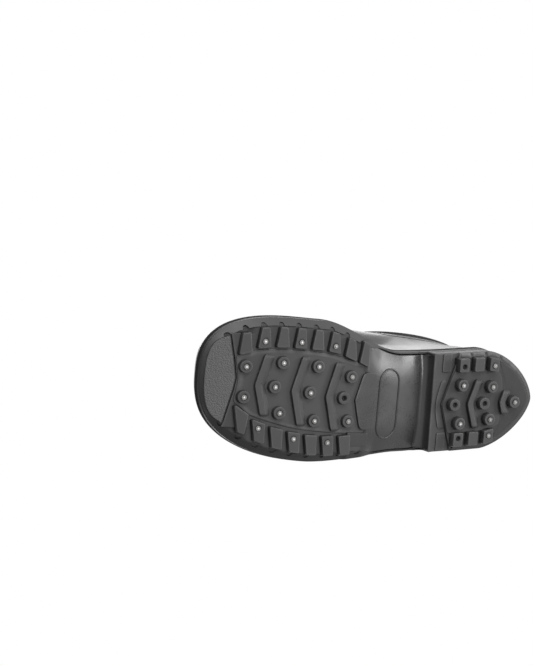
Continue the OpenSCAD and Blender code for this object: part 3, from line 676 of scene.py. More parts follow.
# Outward direction of the upper from small steps along and up it
def upperOut(turn, climb):
    side = upperAt(turn + 1, climb) - upperAt(turn - 1, climb)
    rise = upperAt(turn, climb + 0.01) - upperAt(turn, np.maximum(climb - 0.01, 0))
    return unit(np.cross(side, rise))


# Climb at a height over the foot: the dome's rise solved for its angle
def climbUp(turn, height):
    mouthZ, footZ = mouthAt(turn)[1], footAt(turn)[1]
    share = np.clip((height/(upper["domeShare"]*(mouthZ - footZ)))**(upper["domePower"]/2), 0, 1)
    return upper["bend"]/90*np.degrees(np.arcsin(share))


# Climb at a length down the straight part from the mouth
def climbDown(turn, length):
    foot, footZ = footAt(turn)
    mouth, mouthZ = mouthAt(turn)
    run = np.hypot(np.linalg.norm(mouth - foot, axis=-1), (1 - upper["domeShare"])*(mouthZ - footZ))
    return 1 - (1 - upper["bend"])/(1 - upper["domeReach"])*length/run


# Distance in mm to the line where a field of the grid is zero: the field over its own slope
def lineDistance(field, points):
    alongLen = np.linalg.norm(np.roll(points, -1, 1) - np.roll(points, 1, 1), axis=-1)
    upLen = np.linalg.norm(np.gradient(points, axis=0), axis=-1)
    alongSlope = (np.roll(field, -1, 1) - np.roll(field, 1, 1))/np.maximum(alongLen, 1e-6)
    upSlope = np.gradient(field, axis=0)/np.maximum(upLen, 1e-6)
    return field/np.maximum(np.hypot(alongSlope, upSlope), 1e-6)


# Upper shell with its plies as raised steps; the wall then turns in at the mouth and comes down inside
def makeUpper():
    turn = evenTurns(upper["columns"])[None, :]
    fine = np.linspace(0, 1, 801)
    run = runAlong(upperAt(upper["rowTurn"], fine))
    climb = np.interp(np.linspace(0, run[-1], upper["outerRows"]), run, fine)[:, None]
    base = upperAt(turn, climb)
    out = upperOut(turn, climb)
    fold = np.broadcast_to(foldTurn(turn), base.shape[:2])
    capEdge = upper["capTop"]*np.clip(1 - (fold/upper["capTurn"])**2, 0, 1)**upper["capPower"]
    cap = lineDistance(capEdge - climb - upper["capFall"]*np.clip(fold/upper["capTurn"] - 1, 0, None), base)
    t = np.clip((fold - upper["quarterFront"])/(upper["quarterLow"] - upper["quarterFront"]), 0, 1)
    low = climbUp(turn, upper["bandUp"])
    quarterEdge = low + (upper["bend"] - low)*(1 - t)**upper["quarterPower"]
    side = lineDistance(fold - upper["quarterFront"], base)
    quarter = np.minimum(lineDistance(climb - quarterEdge, base), side)
    quarter = np.where(fold > upper["quarterLow"] + upper["quarterEnd"], noSeam, quarter)
    counter = lineDistance(fold - upper["counterTurn"], base)
    relief = upper["plyRise"]*sum(smoothStep(ply/upper["plyEdge"] + 0.5) for ply in (cap, quarter))
    relief -= upper["counterDip"]*np.clip(1 - np.abs(counter)/upper["counterWidth"], 0, 1)
    seam = np.minimum(np.maximum(cap, quarter), np.abs(counter))  # above 0 on a ply, and a groove at the counter
    outer = base + relief[..., None]*out
    innerClimb = np.linspace(1, 0, upper["innerRows"])[:, None]
    inner = upperAt(turn, innerClimb) - upper["wall"]*upperOut(turn, innerClimb)
    points = np.concatenate([outer, inner])
    marks = np.concatenate([np.clip(seam, -noSeam, noSeam), np.full(inner.shape[:2], noSeam)])
    parts = [gridPart(points, wrapRows=True, wrapCols=True, seam=marks)]
    nodes = ("upper_shell", "toe_cap", "lateral_quarter", "medial_quarter", "heel_counter")
    makePiece("upper", parts, rubberBlack, nodes)


collar = dict(columns=360, spacing=0.55, lineAt=13.1, lineHalf=0.5, section=[
    (13.4, 0.05), (12.9, 0.85), (11.8, 1.05), (8.2, 1.0), (6.0, 0.95), (5.4, 0.55), (4.9, 0.55), (4.3, 1.1),
    (3.2, 1.9), (1.6, 2.15), (0.2, 1.8), (-0.7, 0.6), (-0.8, -0.8), (-0.4, -2.2), (0.9, -2.95), (3.0, -2.8),
    (4.6, -2.3), (4.8, -1.2), (6.0, 0.0), (10.0, 0.0)])


# Collar band: a section of (length down from the mouth, height off the upper) carried round the mouth
def makeCollar():
    turn = evenTurns(collar["columns"])[None, :]
    section = softLoop(collar["section"], collar["spacing"])
    climb = climbDown(turn, section[:, :1])
    points = upperAt(turn, climb) + section[:, 1:, None]*upperOut(turn, climb)
    seam = np.where(np.abs(section[:, 0] - collar["lineAt"]) < collar["lineHalf"], 0.0, noSeam)[:, None]
    parts = [gridPart(points, wrapRows=True, wrapCols=True, seam=seam)]
    makePiece("collar", parts, rubberBlack, ("collar_band",))


foxing = dict(
    columns=1500, rimWidth=6.6, toeRimWidth=1.8, heelRimWidth=1.4,
    toeY=(-158, -143), foreEndY=-100.0, fadeY=(-16.0, 6.0), rimRise=3.6, lip=1.0, pocket=3.0,
    notch=2.7, notchDepth=1.1, notchPitch=16.1, firstNotchY=-145.8, notches=9,
    archGap=0.4, archEnd=8.0, archLift=1.15, rimPaleAndLit=(0.28, 0.5), rimLitX=(-25, 25), rimRows=slice(2, 11),
    rimHighlight=0.6, rimHighlightTurn=26.0, rimHighlightRun=14.0,
    # (outset, height over the seat) of the double bead, then (height, outset) of the edge that lies on the upper
    beads=[(0.0, 0.9), (0.05, 1.3), (0.55, 1.75), (0.8, 2.2), (0.55, 2.65), (0.05, 3.0), (-0.15, 3.4), (0.05, 3.8),
           (0.5, 4.2), (0.7, 4.6), (0.45, 5.05), (-0.1, 5.4)],
    cuff=[(7.2, 1.7), (8.2, 1.35), (8.9, 1.15), (9.2, 0.7), (9.3, 0.0), (6.0, 0.05)],
)


# Width of the rim under the foxing: eased from narrow at the toe to full, and to narrow again along the heel
def rimWidth(y):
    fore = ramp(y, *foxing["toeY"], foxing["toeRimWidth"], foxing["rimWidth"])
    rear = ramp(y, *foxing["fadeY"], foxing["rimWidth"], foxing["heelRimWidth"])
    return np.where(y < foxing["foreEndY"], fore, rear)


# Foxing: a section carried round the edge, with a double bead at the joint and below it the sole's sloping rim, from
# which notches of half a circle are cut
def makeFoxing():
    turn = evenTurns(foxing["columns"])
    edge, out, foot = edgeAt(turn), outwardAt(turn), footAt(turn)[0]
    y, seat = edge[:, 1], seatZ(foot[:, 1])
    under = bodyZ(edge[:, 0], y) - seat
    width, fade = rimWidth(y), ramp(y, *foxing["fadeY"], 1, 0)
    arch = archRollZ(*foot.T) + foxing["archGap"]*(1 - fade)
    arch *= ramp(y, sole["breastY"] - foxing["archEnd"], sole["breastY"], 1, 0)
    lip = under - foxing["lip"]*fade + arch
    high = under + foxing["rimRise"]*fade + foxing["archLift"]*arch + 0.1
    at = (y - foxing["firstNotchY"])/foxing["notchPitch"]
    near = (at - np.round(at))*foxing["notchPitch"]
    counted = (np.round(at) >= 0) & (np.round(at) < foxing["notches"])
    cut = np.where(counted, np.sqrt(np.clip(1 - (near/foxing["notch"])**2, 0, None)), 0)
    inner = width - foxing["notchDepth"]*foxing["notch"]*cut*np.clip(width/foxing["rimWidth"], 0, 1)

    # Place on the rim's slope, from 0 at its outer edge to 1 at its inner one
    def slope(share):
        return -share*inner, high + (lip - high)*share*inner/width

    # (outset, height over the seat) down the section, each a value or an array round the overshoe
    ceiling, bottom = under + foxing["pocket"] + arch, slope(1)[1]
    section = [(-upper["inset"], 2.0), (-width - 1.0, ceiling + 0.2), (-inner - 0.15, ceiling),
               (-inner - 0.12, bottom + 0.4), (-inner - 0.05, bottom + 0.12), *map(slope, (0.98, 0.93, 0.6, 0.3)),
               (-0.5, high - 0.2), (-0.12, high + 0.05), (0.0, high + 0.5), (0.05, high*0.4 + 0.2), *foxing["beads"]]
    rows = [atHeight(edge + np.broadcast_to(outset, y.shape)[:, None]*out, seat + np.broadcast_to(height, y.shape))
            for outset, height in section]
    for height, outset in foxing["cuff"]:
        climb = climbUp(turn, height)
        rows.append(upperAt(turn, climb) + outset*upperOut(turn, climb))
    rim = np.zeros((len(rows), len(turn)))
    worn = foxing["rimHighlight"]*np.exp(-((turn - foxing["rimHighlightTurn"])/foxing["rimHighlightRun"])**2)  # painted highlight beside the toe on the inner side
    # the rim's grey, paler towards the inner side as painted light
    rim[foxing["rimRows"]] = ramp(edge[:, 0], *foxing["rimLitX"], *foxing["rimPaleAndLit"]) + worn
    parts = [gridPart(np.stack(rows), wrapRows=True, wrapCols=True, seam=noSeam, rim=rim)]
    makePiece("foxing", parts, rubberBand, ("foxing_band",))


makeUpper()
makeCollar()
makeFoxing()


insole = dict(inset=6.0, thickness=3.0, edgeRadius=0.9, gap=0.15, middle=(-4.0, -6.0), columns=300, rings=55)


# Insole: rings go out under a sheet that follows the seat, round its edge on half a circle and back in over it
def makeInsole():
    loop = insetAt(evenTurns(insole["columns"]), insole["inset"])
    bend, radius = np.radians(np.linspace(-90, 90, 10))[:, None], insole["edgeRadius"]
    rings = loop + (radius*(np.cos(bend) - 1))[..., None]*loopOutward(loop)
    share = np.linspace(0, 1, insole["rings"] + 1)[:-1, None, None]
    face = np.array(insole["middle"]) + (rings[0] - np.array(insole["middle"]))*share
    plan = np.concatenate([face, rings, face[::-1]])
    edge = radius*(1 + np.sin(bend)) + np.where(bend > 0, insole["thickness"] - 2*radius, 0)
    flat = np.zeros(insole["rings"])
    rise = np.concatenate([flat, edge[:, 0], flat + insole["thickness"]])[:, None]
    points = atHeight(plan, seatZ(plan[..., 1]) + insole["gap"] + rise)
    makePiece("insole", [gridPart(points, wrapCols=True)], lining, ("insole",))


makeInsole()


# Outsole

tread = dict(
    axisX=1.6, axisY=-84.9, axisTurn=-6.7, rowY=(-117.5, -84.9, -52.3),
    barSpan=(26.3, 29.8, 29.8), barShift=-1.3, barForm=dict(sweep=15.0, height=3.0, width=10.0, rounding=3.2),
    bossStep=17.5, sideStep=5.8, rowSpan=(21.2, 23.1, 19.1), openRow=2, frontSpan=12.8, frontStep=8.7,
    bossRadius=5.25, bossDraft=0.75, bossEdge=0.5, bossRoot=0.5,
    lugCorner=1.2, lugEdge=0.6, lugRoot=0.6, lugFirstY=-128.0, lugPitch=16.1, lugOut=7.6, lugIn=24.7, lugStudIn=19.3,
    studded=(1, 3, 5), driftless=3,
    # by side, inner 1 and outer -1: number of lugs, widths of their inner and outer ends, drift from the edge, skew
    lugs={1: (8, 11.5, 6.6, 0.0, 0.0), -1: (7, 11.5, 9.0, 0.9, 2.0)},
    # lugs at the ends of a row have corners of their own
    endLugs={(1, 0): [(28.6, -133.0), (46.9, -131.1), (48.2, -124.4), (31.6, -122.0)],
             (-1, 0): [(-12.6, -133.8), (-20.8, -120.8), (-38.0, -123.2), (-35.6, -129.3)],
             (1, 7): [(26.7, -22.6), (45.4, -19.7), (43.0, -14.2), (22.6, -13.0)]},
    field=[(27, -133.7), (18, -132.6), (8.8, -131.2), (-1, -132.2), (-10.5, -133.2), (-15.5, -127), (-21.4, -118.8),
           (-27.4, -98.2), (-31.7, -77), (-34.2, -49.6), (-35.3, -21.6), (-34, -9), (-20, -6), (10, -6), (23, -9),
           (26.7, -23.5), (33.1, -53), (35.2, -88.6), (33.9, -113.8), (30.5, -125)],
    fieldMiddle=(2, -72), oval=[(-38.9, 0.6), (21.1, 0.6), (21.1, 22.8), (-38.9, 22.8)], ovalCorner=10.9, ovalLine=0.9,
)
# rings of (radius, depth) round a stud and down an empty socket
studMoat = [(3.0, 0.0), (2.75, 0.12), (2.45, 0.42), (2.0, 0.42), (0.0, 0.42)]
openBore = [(2.75, 0.0), (2.45, 0.15), (2.25, 0.55), (2.1, 3.2), (0.0, 3.2)]


# Axis of a tread pattern: a straight line at its own turn
def axisAt(pattern, y):
    return pattern["axisX"] + math.tan(math.radians(pattern["axisTurn"]))*(y - pattern["axisY"])


# Line across the sole whose places follow a list of corners
def acrossAt(x, corners):
    return np.stack([x, np.interp(x, *np.transpose(corners))], -1)


# Line across the sole at one Y
def levelAt(x, y):
    return np.stack([x, np.full(len(x), y)], -1)


# Shares from 0 to 1, closer together at both ends on half a cosine wave
def easedShares(count):
    return 0.5 - 0.5*np.cos(np.linspace(0, np.pi, count))


# Round boss: a block on a circle, with a stud's moat or a socket in its middle
def bossPart(place, bore, height):
    t = np.linspace(0, 2*np.pi, 40, endpoint=False)
    loop = np.asarray(place) + tread["bossRadius"]*np.stack([np.cos(t), np.sin(t)], -1)
    return block(loop, treadZ, height + tread["bossRoot"], tread["bossDraft"], tread["bossEdge"], 4, place, bore)


# Two studded bosses beside a pattern's axis, a step behind the one on it
def bossRow(pattern, y, span, bore, height):
    sides = y + pattern["sideStep"]
    parts = [bossPart((axisAt(pattern, sides) + side*span, sides), studMoat, height) for side in (1, -1)]
    return parts + [bossPart((axisAt(pattern, y), y), bore, height)]


# Edge lug between two distances from the sole's edge, wider at one end, or on corners of its own
def lugPart(side, y, inWidth, outWidth, inner, outer, height, skew=0.0, stud=None, bore=(), corners=None, faceZ=treadZ):
    if corners is None:
        ys = np.array([y - inWidth/2, y - outWidth/2 + skew, y + outWidth/2 + skew, y + inWidth/2])
        corners = fromEdge(side, ys, np.array([inner, outer, outer, inner]))
    loop, edge = roundedLoop(corners, tread["lugCorner"]), tread["lugEdge"]
    return block(loop, faceZ, height + tread["lugRoot"], edge, min(edge, 0.5*height), 7, stud, bore)


# Face a hair proud of a profile, which sinks into it by a depth over a run behind one Y
def sinking(profile, proud, depth, fromY, run):
    return lambda y: profile(y) - proud + depth*smoothStep((y - fromY)/run)


# A part lifted by the arch's roll at each of its places
def rolled(part):
    part["points"][:, 2] += archRollZ(*part["points"][:, :2].T)
    return part


cove = dict(run=9.0, breastSet=(3.2, 5.2), inset=2.6, handle=(3.5, 1.4), crown=0.9, root=1.5, gloss=1.35)


# Back line of the arch at a share across, from the inner side to the outer one
def breastAt(share):
    return sole["breastY"] + cove["breastSet"][0]*(1 - share) + cove["breastSet"][1]*share


underside = dict(
    columns=72, seatColumns=5, seatGap=0.05, lap=3.3, rimRise=2.5, rimRun=3.4, rimY=(-16, 2),
    trench=1.6, trenchY=-119.0, trenchRun=6.0, coveTrench=2.5, coveRun=3.5, coveGap=0.3,
    archY=-22.0, archRun=10.0, archLight=(0.2, 0.6), archLightTo=0.35, shade=0.9, shadeFrom=0.66, shadeRun=0.25,
    groove=0.85, grooveSpan=(2.0, 4.6), grooveY=(-22, -14), lowFloor=0.1,
)


# Body: lines across from the inner edge to the outer one and back over the seat. Below, it follows the sole's profile
# and the arch's roll, rises under the rim, and sinks in a trench before the field and under the cove.
def soleBody():
    turn = np.concatenate([np.linspace(0.4, 20, 40), np.linspace(20.5, 179.6, 400)])
    start = np.maximum(upper["inset"], rimWidth(toeY*np.cos(np.radians(turn))) - underside["lap"])
    inner, outer = (insetAt(t, start) for t in (turn, 360 - turn))
    share = np.concatenate([easedShares(underside["columns"]), np.linspace(1, 0, underside["seatColumns"])])[None]
    plan = inner[:, None]*(1 - share[..., None]) + outer[:, None]*share[..., None]
    x, y = plan[..., 0], plan[..., 1]
    across = np.linalg.norm(inner - outer, axis=1)[:, None]*(0.5 - np.abs(share - 0.5))
    rim = underside["rimRise"]*ramp(y, *underside["rimY"], 1, 0)*smoothStep(1 - across/underside["rimRun"])
    trench = underside["trench"]*ease((underside["trenchY"] - y)/underside["trenchRun"])
    foot = breastAt(share) - cove["run"]
    sunk = underside["coveTrench"]*smoothStep((y - foot - underside["coveGap"])/underside["coveRun"])
    sunk *= 1 - ease((y - sole["breastY"] - sole["breastBlend"])/sole["breastBlend"])
    below = bodyZ(x, y) + (archRollZ(x, y) + rim) + (trench + sunk)
    z = np.where(np.arange(share.size)[None] < underside["columns"], below, seatZ(y) - underside["seatGap"])
    body = atHeight(plan, z)
    ends = body[[0, -1]].mean(1, keepdims=True)*np.ones((1, share.size, 1))
    body = np.concatenate([ends[:1], body, ends[1:]])
    onArch = smoothStep((body[..., 1] - underside["archY"])/underside["archRun"])
    # painted shade: a dark line just inside the rim, where no groove is cut
    near, far = underside["grooveSpan"]
    groove = smoothStep(far - across)*smoothStep(across - near)*ramp(y, *underside["grooveY"], underside["groove"], 0)
    # painted light: the arch is paler, most of all on its inner side
    least, more = underside["archLight"]
    pale = least + more*smoothStep((underside["archLightTo"] - share)/underside["archLightTo"])
    # marks: painted light on the arch, painted shade on the floor between lugs and in that line, and a wash of painted
    # shade over the arch's outer side
    return gridPart(body, wrapCols=True, edge=onArch*pale, gloss=onArch,
                    low=underside["lowFloor"]*(1 - onArch) + np.pad(groove, ((1, 1), (0, 0))),
                    soil=underside["shade"]*onArch*smoothStep((share - underside["shadeFrom"])/underside["shadeRun"]))


toePad = dict(
    vee=[(-34.0, -144.4), (-27.3, -142.0), (-11.6, -138.2), (-1, -135.6), (8.8, -134.0), (17, -135.3), (26, -137),
         (46, -141.5), (52, -142.8)],
    inset=0.4, clear=0.4, gap=2.3, lines=121, floorEnds=[(-1, -141, 5.7), (1, -140, 5.7)], lap=3.0,
)


# Pebbled pad between the rim and a V line, and behind a narrow trench the floor that the first lugs stand on
def padParts():
    # Line along the inside of the rim
    def rimLine(turn):
        return insetAt(turn, rimWidth(edgeAt(turn)[:, 1]) + toePad["inset"])

    count, trenchY = toePad["lines"], underside["trenchY"]
    turn = np.linspace(-40, 40, 1601)
    front = rimLine(turn)
    ahead = turn[front[:, 1] < acrossAt(front[:, 0], toePad["vee"])[:, 1] - toePad["clear"]]
    front = rimLine(np.linspace(ahead[0], ahead[-1], count))
    rear = acrossAt(np.linspace(front[0, 0], front[-1, 0], count), toePad["vee"])
    pad = strip(front, rear, lambda y: floorZ(y) - sole["padHeight"], depth=3.4, radius=0.5, faceRows=20, pebble=1.0)
    x = np.linspace(*(fromEdge(*end)[0] for end in toePad["floorEnds"]), count)
    front = acrossAt(x, toePad["vee"]) + np.array([0, toePad["gap"]])
    face = sinking(floorZ, proud=0.04, depth=0.5, fromY=trenchY, run=2.5)
    floor = strip(front, levelAt(x, trenchY + toePad["lap"]), face, depth=2.2, radius=0.4, faceRows=14)
    return [pad, floor]


shank = dict(
    vee=[(-31.2, -13.4), (-30.4, -15.6), (-28.4, -17.3), (-17, -20.4), (-6, -23.2), (5, -20.2), (14.5, -17.6),
         (16.8, -16.2), (17.6, -13.8)],
    rearY=3.0, shoulderX=(-34.2, -46.0), shoulderY=(-28, -4), shoulderShade=1.0,
)


# V front of the shank and the low shoulder behind the last outer lug, whose faces sink into the arch behind them
def shankParts():
    x = np.linspace(shank["vee"][0][0], shank["vee"][-1][0], 121)
    face = sinking(archZ, proud=0.05, depth=2.0, fromY=-3, run=4)
    nose = strip(acrossAt(x, shank["vee"]), levelAt(x, shank["rearY"]), face, depth=2.9, radius=0.4, faceRows=24,
                 gloss=1.0)
    y = np.linspace(*shank["shoulderY"], 36)
    sides = (levelAt(y, x)[:, ::-1] for x in shank["shoulderX"])
    face = sinking(archZ, proud=0.06, depth=1.5, fromY=-8, run=4)
    # painted shade over the shoulder's face
    shoulder = strip(*sides, face, depth=2.6, radius=0.3, faceRows=12, worn=0.0, gloss=0.6, soil=shank["shoulderShade"])
    return [rolled(nose), rolled(shoulder)]


# Cubic curve between two ends, drawn towards two handles
def cubic(t, a, b, c, d):
    return (1 - t)**3*a + 3*t*(1 - t)**2*b + 3*t**2*(1 - t)*c + t**3*d


# Cove where the arch meets the heel's breast: a cubic curve from the arch's slope to the upright, closed behind
def covePart():
    u = np.concatenate([[0], easedShares(60), [1]])[:, None]
    t = np.concatenate([[0, 0.004], np.linspace(0.04, 0.97, 24), [0.996, 1]])[None]
    last = breastAt(u)
    foot = last - cove["run"]
    low, crown = archZ(foot), cove["crown"]
    y = cubic(t, foot, foot + cove["handle"][0], last, last)
    z = cubic(t, low, low + cove["handle"][1], low + crown, ledgeZ(last) + crown)
    y = np.concatenate([y, last + 1, last + 1, foot], 1)
    z = np.concatenate([z - 0.04 + 0.1*(1 - t)**12, z[:, -1:], *2*[z[:, :1] + cove["root"]]], 1)
    x = fromEdge(1, y, cove["inset"])[..., 0]*(1 - u) + fromEdge(-1, y, cove["inset"])[..., 0]*u
    points = np.stack([x, y, z + archRollZ(x, np.minimum(y, foot))*(1 - np.pad(t, ((0, 0), (0, 3))))], -1)
    points[[0, -1]] = points[[0, -1]].mean(1, keepdims=True)
    return gridPart(points, wrapCols=True, edge=0.0, low=0.0, gloss=cove["gloss"])


# Edge lugs at an even pitch along both sides
def foreLugs():
    parts = []
    for side, (count, inWidth, outWidth, drift, skew) in tread["lugs"].items():
        for i in range(count):
            y, shift = tread["lugFirstY"] + i*tread["lugPitch"], drift*(tread["driftless"] - i)
            stud, bore = None, ()
            if i in tread["studded"]:
                stud, bore = fromEdge(side, y, tread["lugStudIn"] + shift), studMoat
            parts.append(lugPart(side, y, inWidth, outWidth, tread["lugIn"] + shift, tread["lugOut"] + shift,
                                 sole["lugHeight"], skew, stud, bore, tread["endLugs"].get((side, i))))
    return parts


# V bars on the axis with a row of bosses behind each, and two bosses before the first
def foreRows():
    parts, height = [], sole["lugHeight"]
    for i, y in enumerate(tread["rowY"]):
        place = (axisAt(tread, y) + tread["barShift"], y)
        parts.append(bar(place, fieldZ, tread["barSpan"][i], **tread["barForm"]))
        bore = openBore if i == tread["openRow"] else studMoat
        parts += bossRow(tread, y + tread["bossStep"], tread["rowSpan"][i], bore, height)
    front = tread["rowY"][0] - tread["frontStep"]
    for side in (1, -1):
        parts.append(bossPart((axisAt(tread, front) + side*tread["frontSpan"], front), studMoat, height))
    return parts


# Outsole: the body, and on it the field, pad, shank, cove, a plain oval line, lugs, bars and bosses
def makeOutsole():
    field = block(softLoop(tread["field"], 1.2), fieldZ, depth=1.6, draft=0.5, radius=0.75, faceRings=40,
                  middle=tread["fieldMiddle"], band=(0.9, 0.5))
    oval = bead(roundedLoop(tread["oval"], tread["ovalCorner"], 24, 24), lambda x, y: archZ(y) + archRollZ(x, y),
                tread["ovalLine"])
    parts = [soleBody(), field, *padParts(), *shankParts(), covePart(), oval, *foreLugs(), *foreRows()]
    makePiece("outsole", parts, rubberGrey, ("outsole",))


makeOutsole()


# Heel

heel = dict(
    axisX=-7.8, axisY=76.5, axisTurn=3.6, stepY=66.2, bars=[(90.9, 22.0), (124.4, 11.0)],
    barForm=dict(sweep=18.0, height=4.0, width=10.0, rounding=3.2), frontY=61.6, frontSpan=22.0,
    frontForm=dict(sweep=18.0, height=0.9, width=9.0, rounding=3.0, soften=11.0),
    rowPitch=30.9, sideStep=7.0, bossSpan=(17.0, 14.6), lastY=139.1,
    ledgeLug=1.0, ledgeLugY=69.8, ledgeLugWidth=8.6, ledgeLugOut=1.0,
    lugs=[(83.1, openBore), (98.7, ()), (114.3, studMoat)],
    lugWidth=9.6, lugOut=4.8, lugIn=17.0, lugStudIn=12.1, lugRoot=2.0,
    bodyInset=0.15, breastFlare=1.5, floorInset=0.1, chamfer=(3.4, 1.3), soil=0.6, backShade=1.15, backY=122.5,
    fieldY=(77.5, 84, 92, 100, 108, 116, 124), fieldX=(-24, -12, -1.5, 1.5, 12, 23.0), fieldGap=0.4, fieldStep=0.5,
    fieldRear=[(10, 128), (-20, 128)], backFront=[(-14, 121.6), (4, 121.6)],
    bevelLight=1.5, bevelLightWidth=3.9, bevelLightWave=(0.9, 0.42), bevelLightY=((70, 84), (138, 154)),
    dentY=(78.8, 93.8, 108.8, 124.8), dentWidth=1.4, dentDepth=1.3, dentSpan=(0.6, 5.0), dentShade=0.8,
)


# V line of the step before the heel's floor, or a distance behind it
def stepAt(wide, behind=0.0):
    rise = math.tan(math.radians(heel["barForm"]["sweep"]))
    return np.stack([axisAt(heel, heel["stepY"]) + wide, heel["stepY"] + behind + np.abs(wide)*rise], -1)


# Block of the heel: the sole's outline behind the breast, closed by a straight line
def heelBody():
    inset = heel["bodyInset"]
    first, last = (turnAt(sole["breastY"] + back + inset) for back in cove["breastSet"])
    rim = insetAt(np.linspace(first, 360 - last, 90), inset)
    share = np.linspace(0, 1, 30)[1:-1, None]
    outline = np.concatenate([rim, rim[-1]*(1 - share) + rim[0]*share])
    return block(softLoop(outline, 1.2), ledgeZ, depth=sole["heelTop"] - inset - ledgeZ(sole["breastY"]), draft=0.0,
                 radius=0.8, faceRings=24, middle=(-5, 105), flare=heel["breastFlare"])


# Floor of the lugs behind the V step, with a wash of painted shade. Its bevel has painted light in waves along the
# inner side, and it is dented between lugs, with painted shade in the dents.
def heelFloor():
    ends, inset = [], heel["floorInset"]
    for side in (1, -1):
        line = stepAt(side*np.linspace(0, 45, 451))
        ends.append(line[side*line[:, 0] < side*fromEdge(side, line[:, 1], inset)[:, 0]])
    inner, outer = (turnAt(line[-1, 1] + 0.3) for line in ends)
    rim = [insetAt(np.linspace(inner, 180, 60), inset), insetAt(360 - np.linspace(180, outer, 60)[1:], inset)]
    part = block(evenLoop(np.concatenate([ends[1][:0:-1], ends[0], *rim]), 0.8), heelFloorZ, depth=6.0, draft=0.0,
                 radius=0.5, faceRings=24, middle=(-5, 108), chamfer=heel["chamfer"], soil=heel["soil"])
    points, marks = part["points"], part["marks"]
    y, edge = points[:, 1], edgeAt(np.linspace(100, 180, 200))
    away = np.linalg.norm(points[:, None, :2] - edge[None], axis=-1).min(1)
    high, pitch = heel["bevelLightWave"]
    # painted light: a band along the inner bevel, wavy at its inner border, fading in at the front and out at the back
    pale = smoothStep((heel["bevelLightWidth"] + high*np.sin(y*pitch) - away)/1.2)
    pale = pale*ramp(y, *heel["bevelLightY"][0], 0, 1)*ramp(y, *heel["bevelLightY"][1], 1, 0)
    dent = np.exp(-((y[:, None] - np.array(heel["dentY"]))/heel["dentWidth"])**2).sum(1)
    dent = dent*smoothStep(away - heel["dentSpan"][0])*smoothStep(heel["dentSpan"][1] - away)
    points[:, 2] += heel["dentDepth"]*dent
    # the painted shade is lifted on that band, the dents get painted shade and lose the edge's paleness
    marks["soil"] = marks["soil"]*(1 - pale)
    marks["low"] = np.maximum(marks["low"]*(1 - pale), heel["dentShade"]*dent)
    marks["edge"] = np.maximum(marks["edge"], heel["bevelLight"]*pale)*(1 - dent)
    return part


# Raised field between the lugs, and the level seat of the last boss behind it
def heelFields():
    ys, inset = np.array(heel["fieldY"]), heel["lugIn"] - heel["fieldGap"]
    nose = stepAt(np.array(heel["fieldX"]), heel["fieldStep"])
    loop = [*nose, *fromEdge(1, ys, inset), *heel["fieldRear"], *fromEdge(-1, ys[::-1], inset)]
    # field and seat carry a wash of painted shade, the seat a heavier one
    field = block(softLoop(loop, 1.0), heelFieldZ, depth=1.6, draft=0.2, radius=0.45, faceRings=24, middle=(-6, 100),
                  soil=heel["soil"])
    back = turnAt(heel["backY"])
    rear = insetAt(np.linspace(back, 360 - back, 31), heel["lugOut"] + 0.5)
    seat = block(softLoop([*rear, *heel["backFront"]], 1.0), lambda y: heelFieldZ(y) + 0.04, depth=1.6, draft=0.3,
                 radius=0.8, faceRings=16, middle=(-5, 138), soil=heel["backShade"])
    return [field, seat]


# Heel: its block, floor and fields, and on them lugs along both sides, bosses and V bars
def makeHeel():
    parts, height = [heelBody(), heelFloor(), *heelFields()], sole["heelLugHeight"]
    wide, low = heel["lugWidth"], heel["ledgeLugWidth"]
    for side in (1, -1):
        parts.append(lugPart(side, heel["ledgeLugY"], low, low, heel["lugIn"], heel["ledgeLugOut"], heel["ledgeLug"],
                             faceZ=lambda y: ledgeZ(y) - heel["ledgeLug"]))
        for y, bore in heel["lugs"]:
            stud = fromEdge(side, y, heel["lugStudIn"]) if bore else None
            size = (wide, wide, heel["lugIn"], heel["lugOut"], height + heel["lugRoot"])
            parts.append(lugPart(side, y, *size, stud=stud, bore=bore))
    for i, span in enumerate(heel["bossSpan"]):
        parts += bossRow(heel, heel["axisY"] + i*heel["rowPitch"], span, openBore, height)
    parts.append(bossPart((axisAt(heel, heel["lastY"]), heel["lastY"]), studMoat, height))
    parts += [bar((axisAt(heel, y), y), heelFieldZ, span, **heel["barForm"]) for y, span in heel["bars"]]
    parts.append(bar((axisAt(heel, heel["frontY"]), heel["frontY"]), ledgeZ, heel["frontSpan"], **heel["frontForm"]))
    makePiece("heel", parts, rubberGrey, ("heel_lift",))


makeHeel()


# Floor, light and camera

stageLight = dict(ambient=0.27, floorReach=3.0, floorGrey=0.82, floorFade=(0.28, 0.75), lamps=[
    # name, place in m, size in m, power in W
    ("soleKey", (0.2, 0.45, -1.85), 0.7, 10.5),
    ("soleFill", (0.42, 1.4, -0.85), 0.6, 13.5),
    ("innerSideKey", (1.15, -0.1, -0.85), 1.0, 16.0),
    ("topKey", (0.9, 0.2, 1.6), 2.0, 30.0),
    ("topFill", (-1.3, 0.2, 1.3), 2.0, 22.0),
])


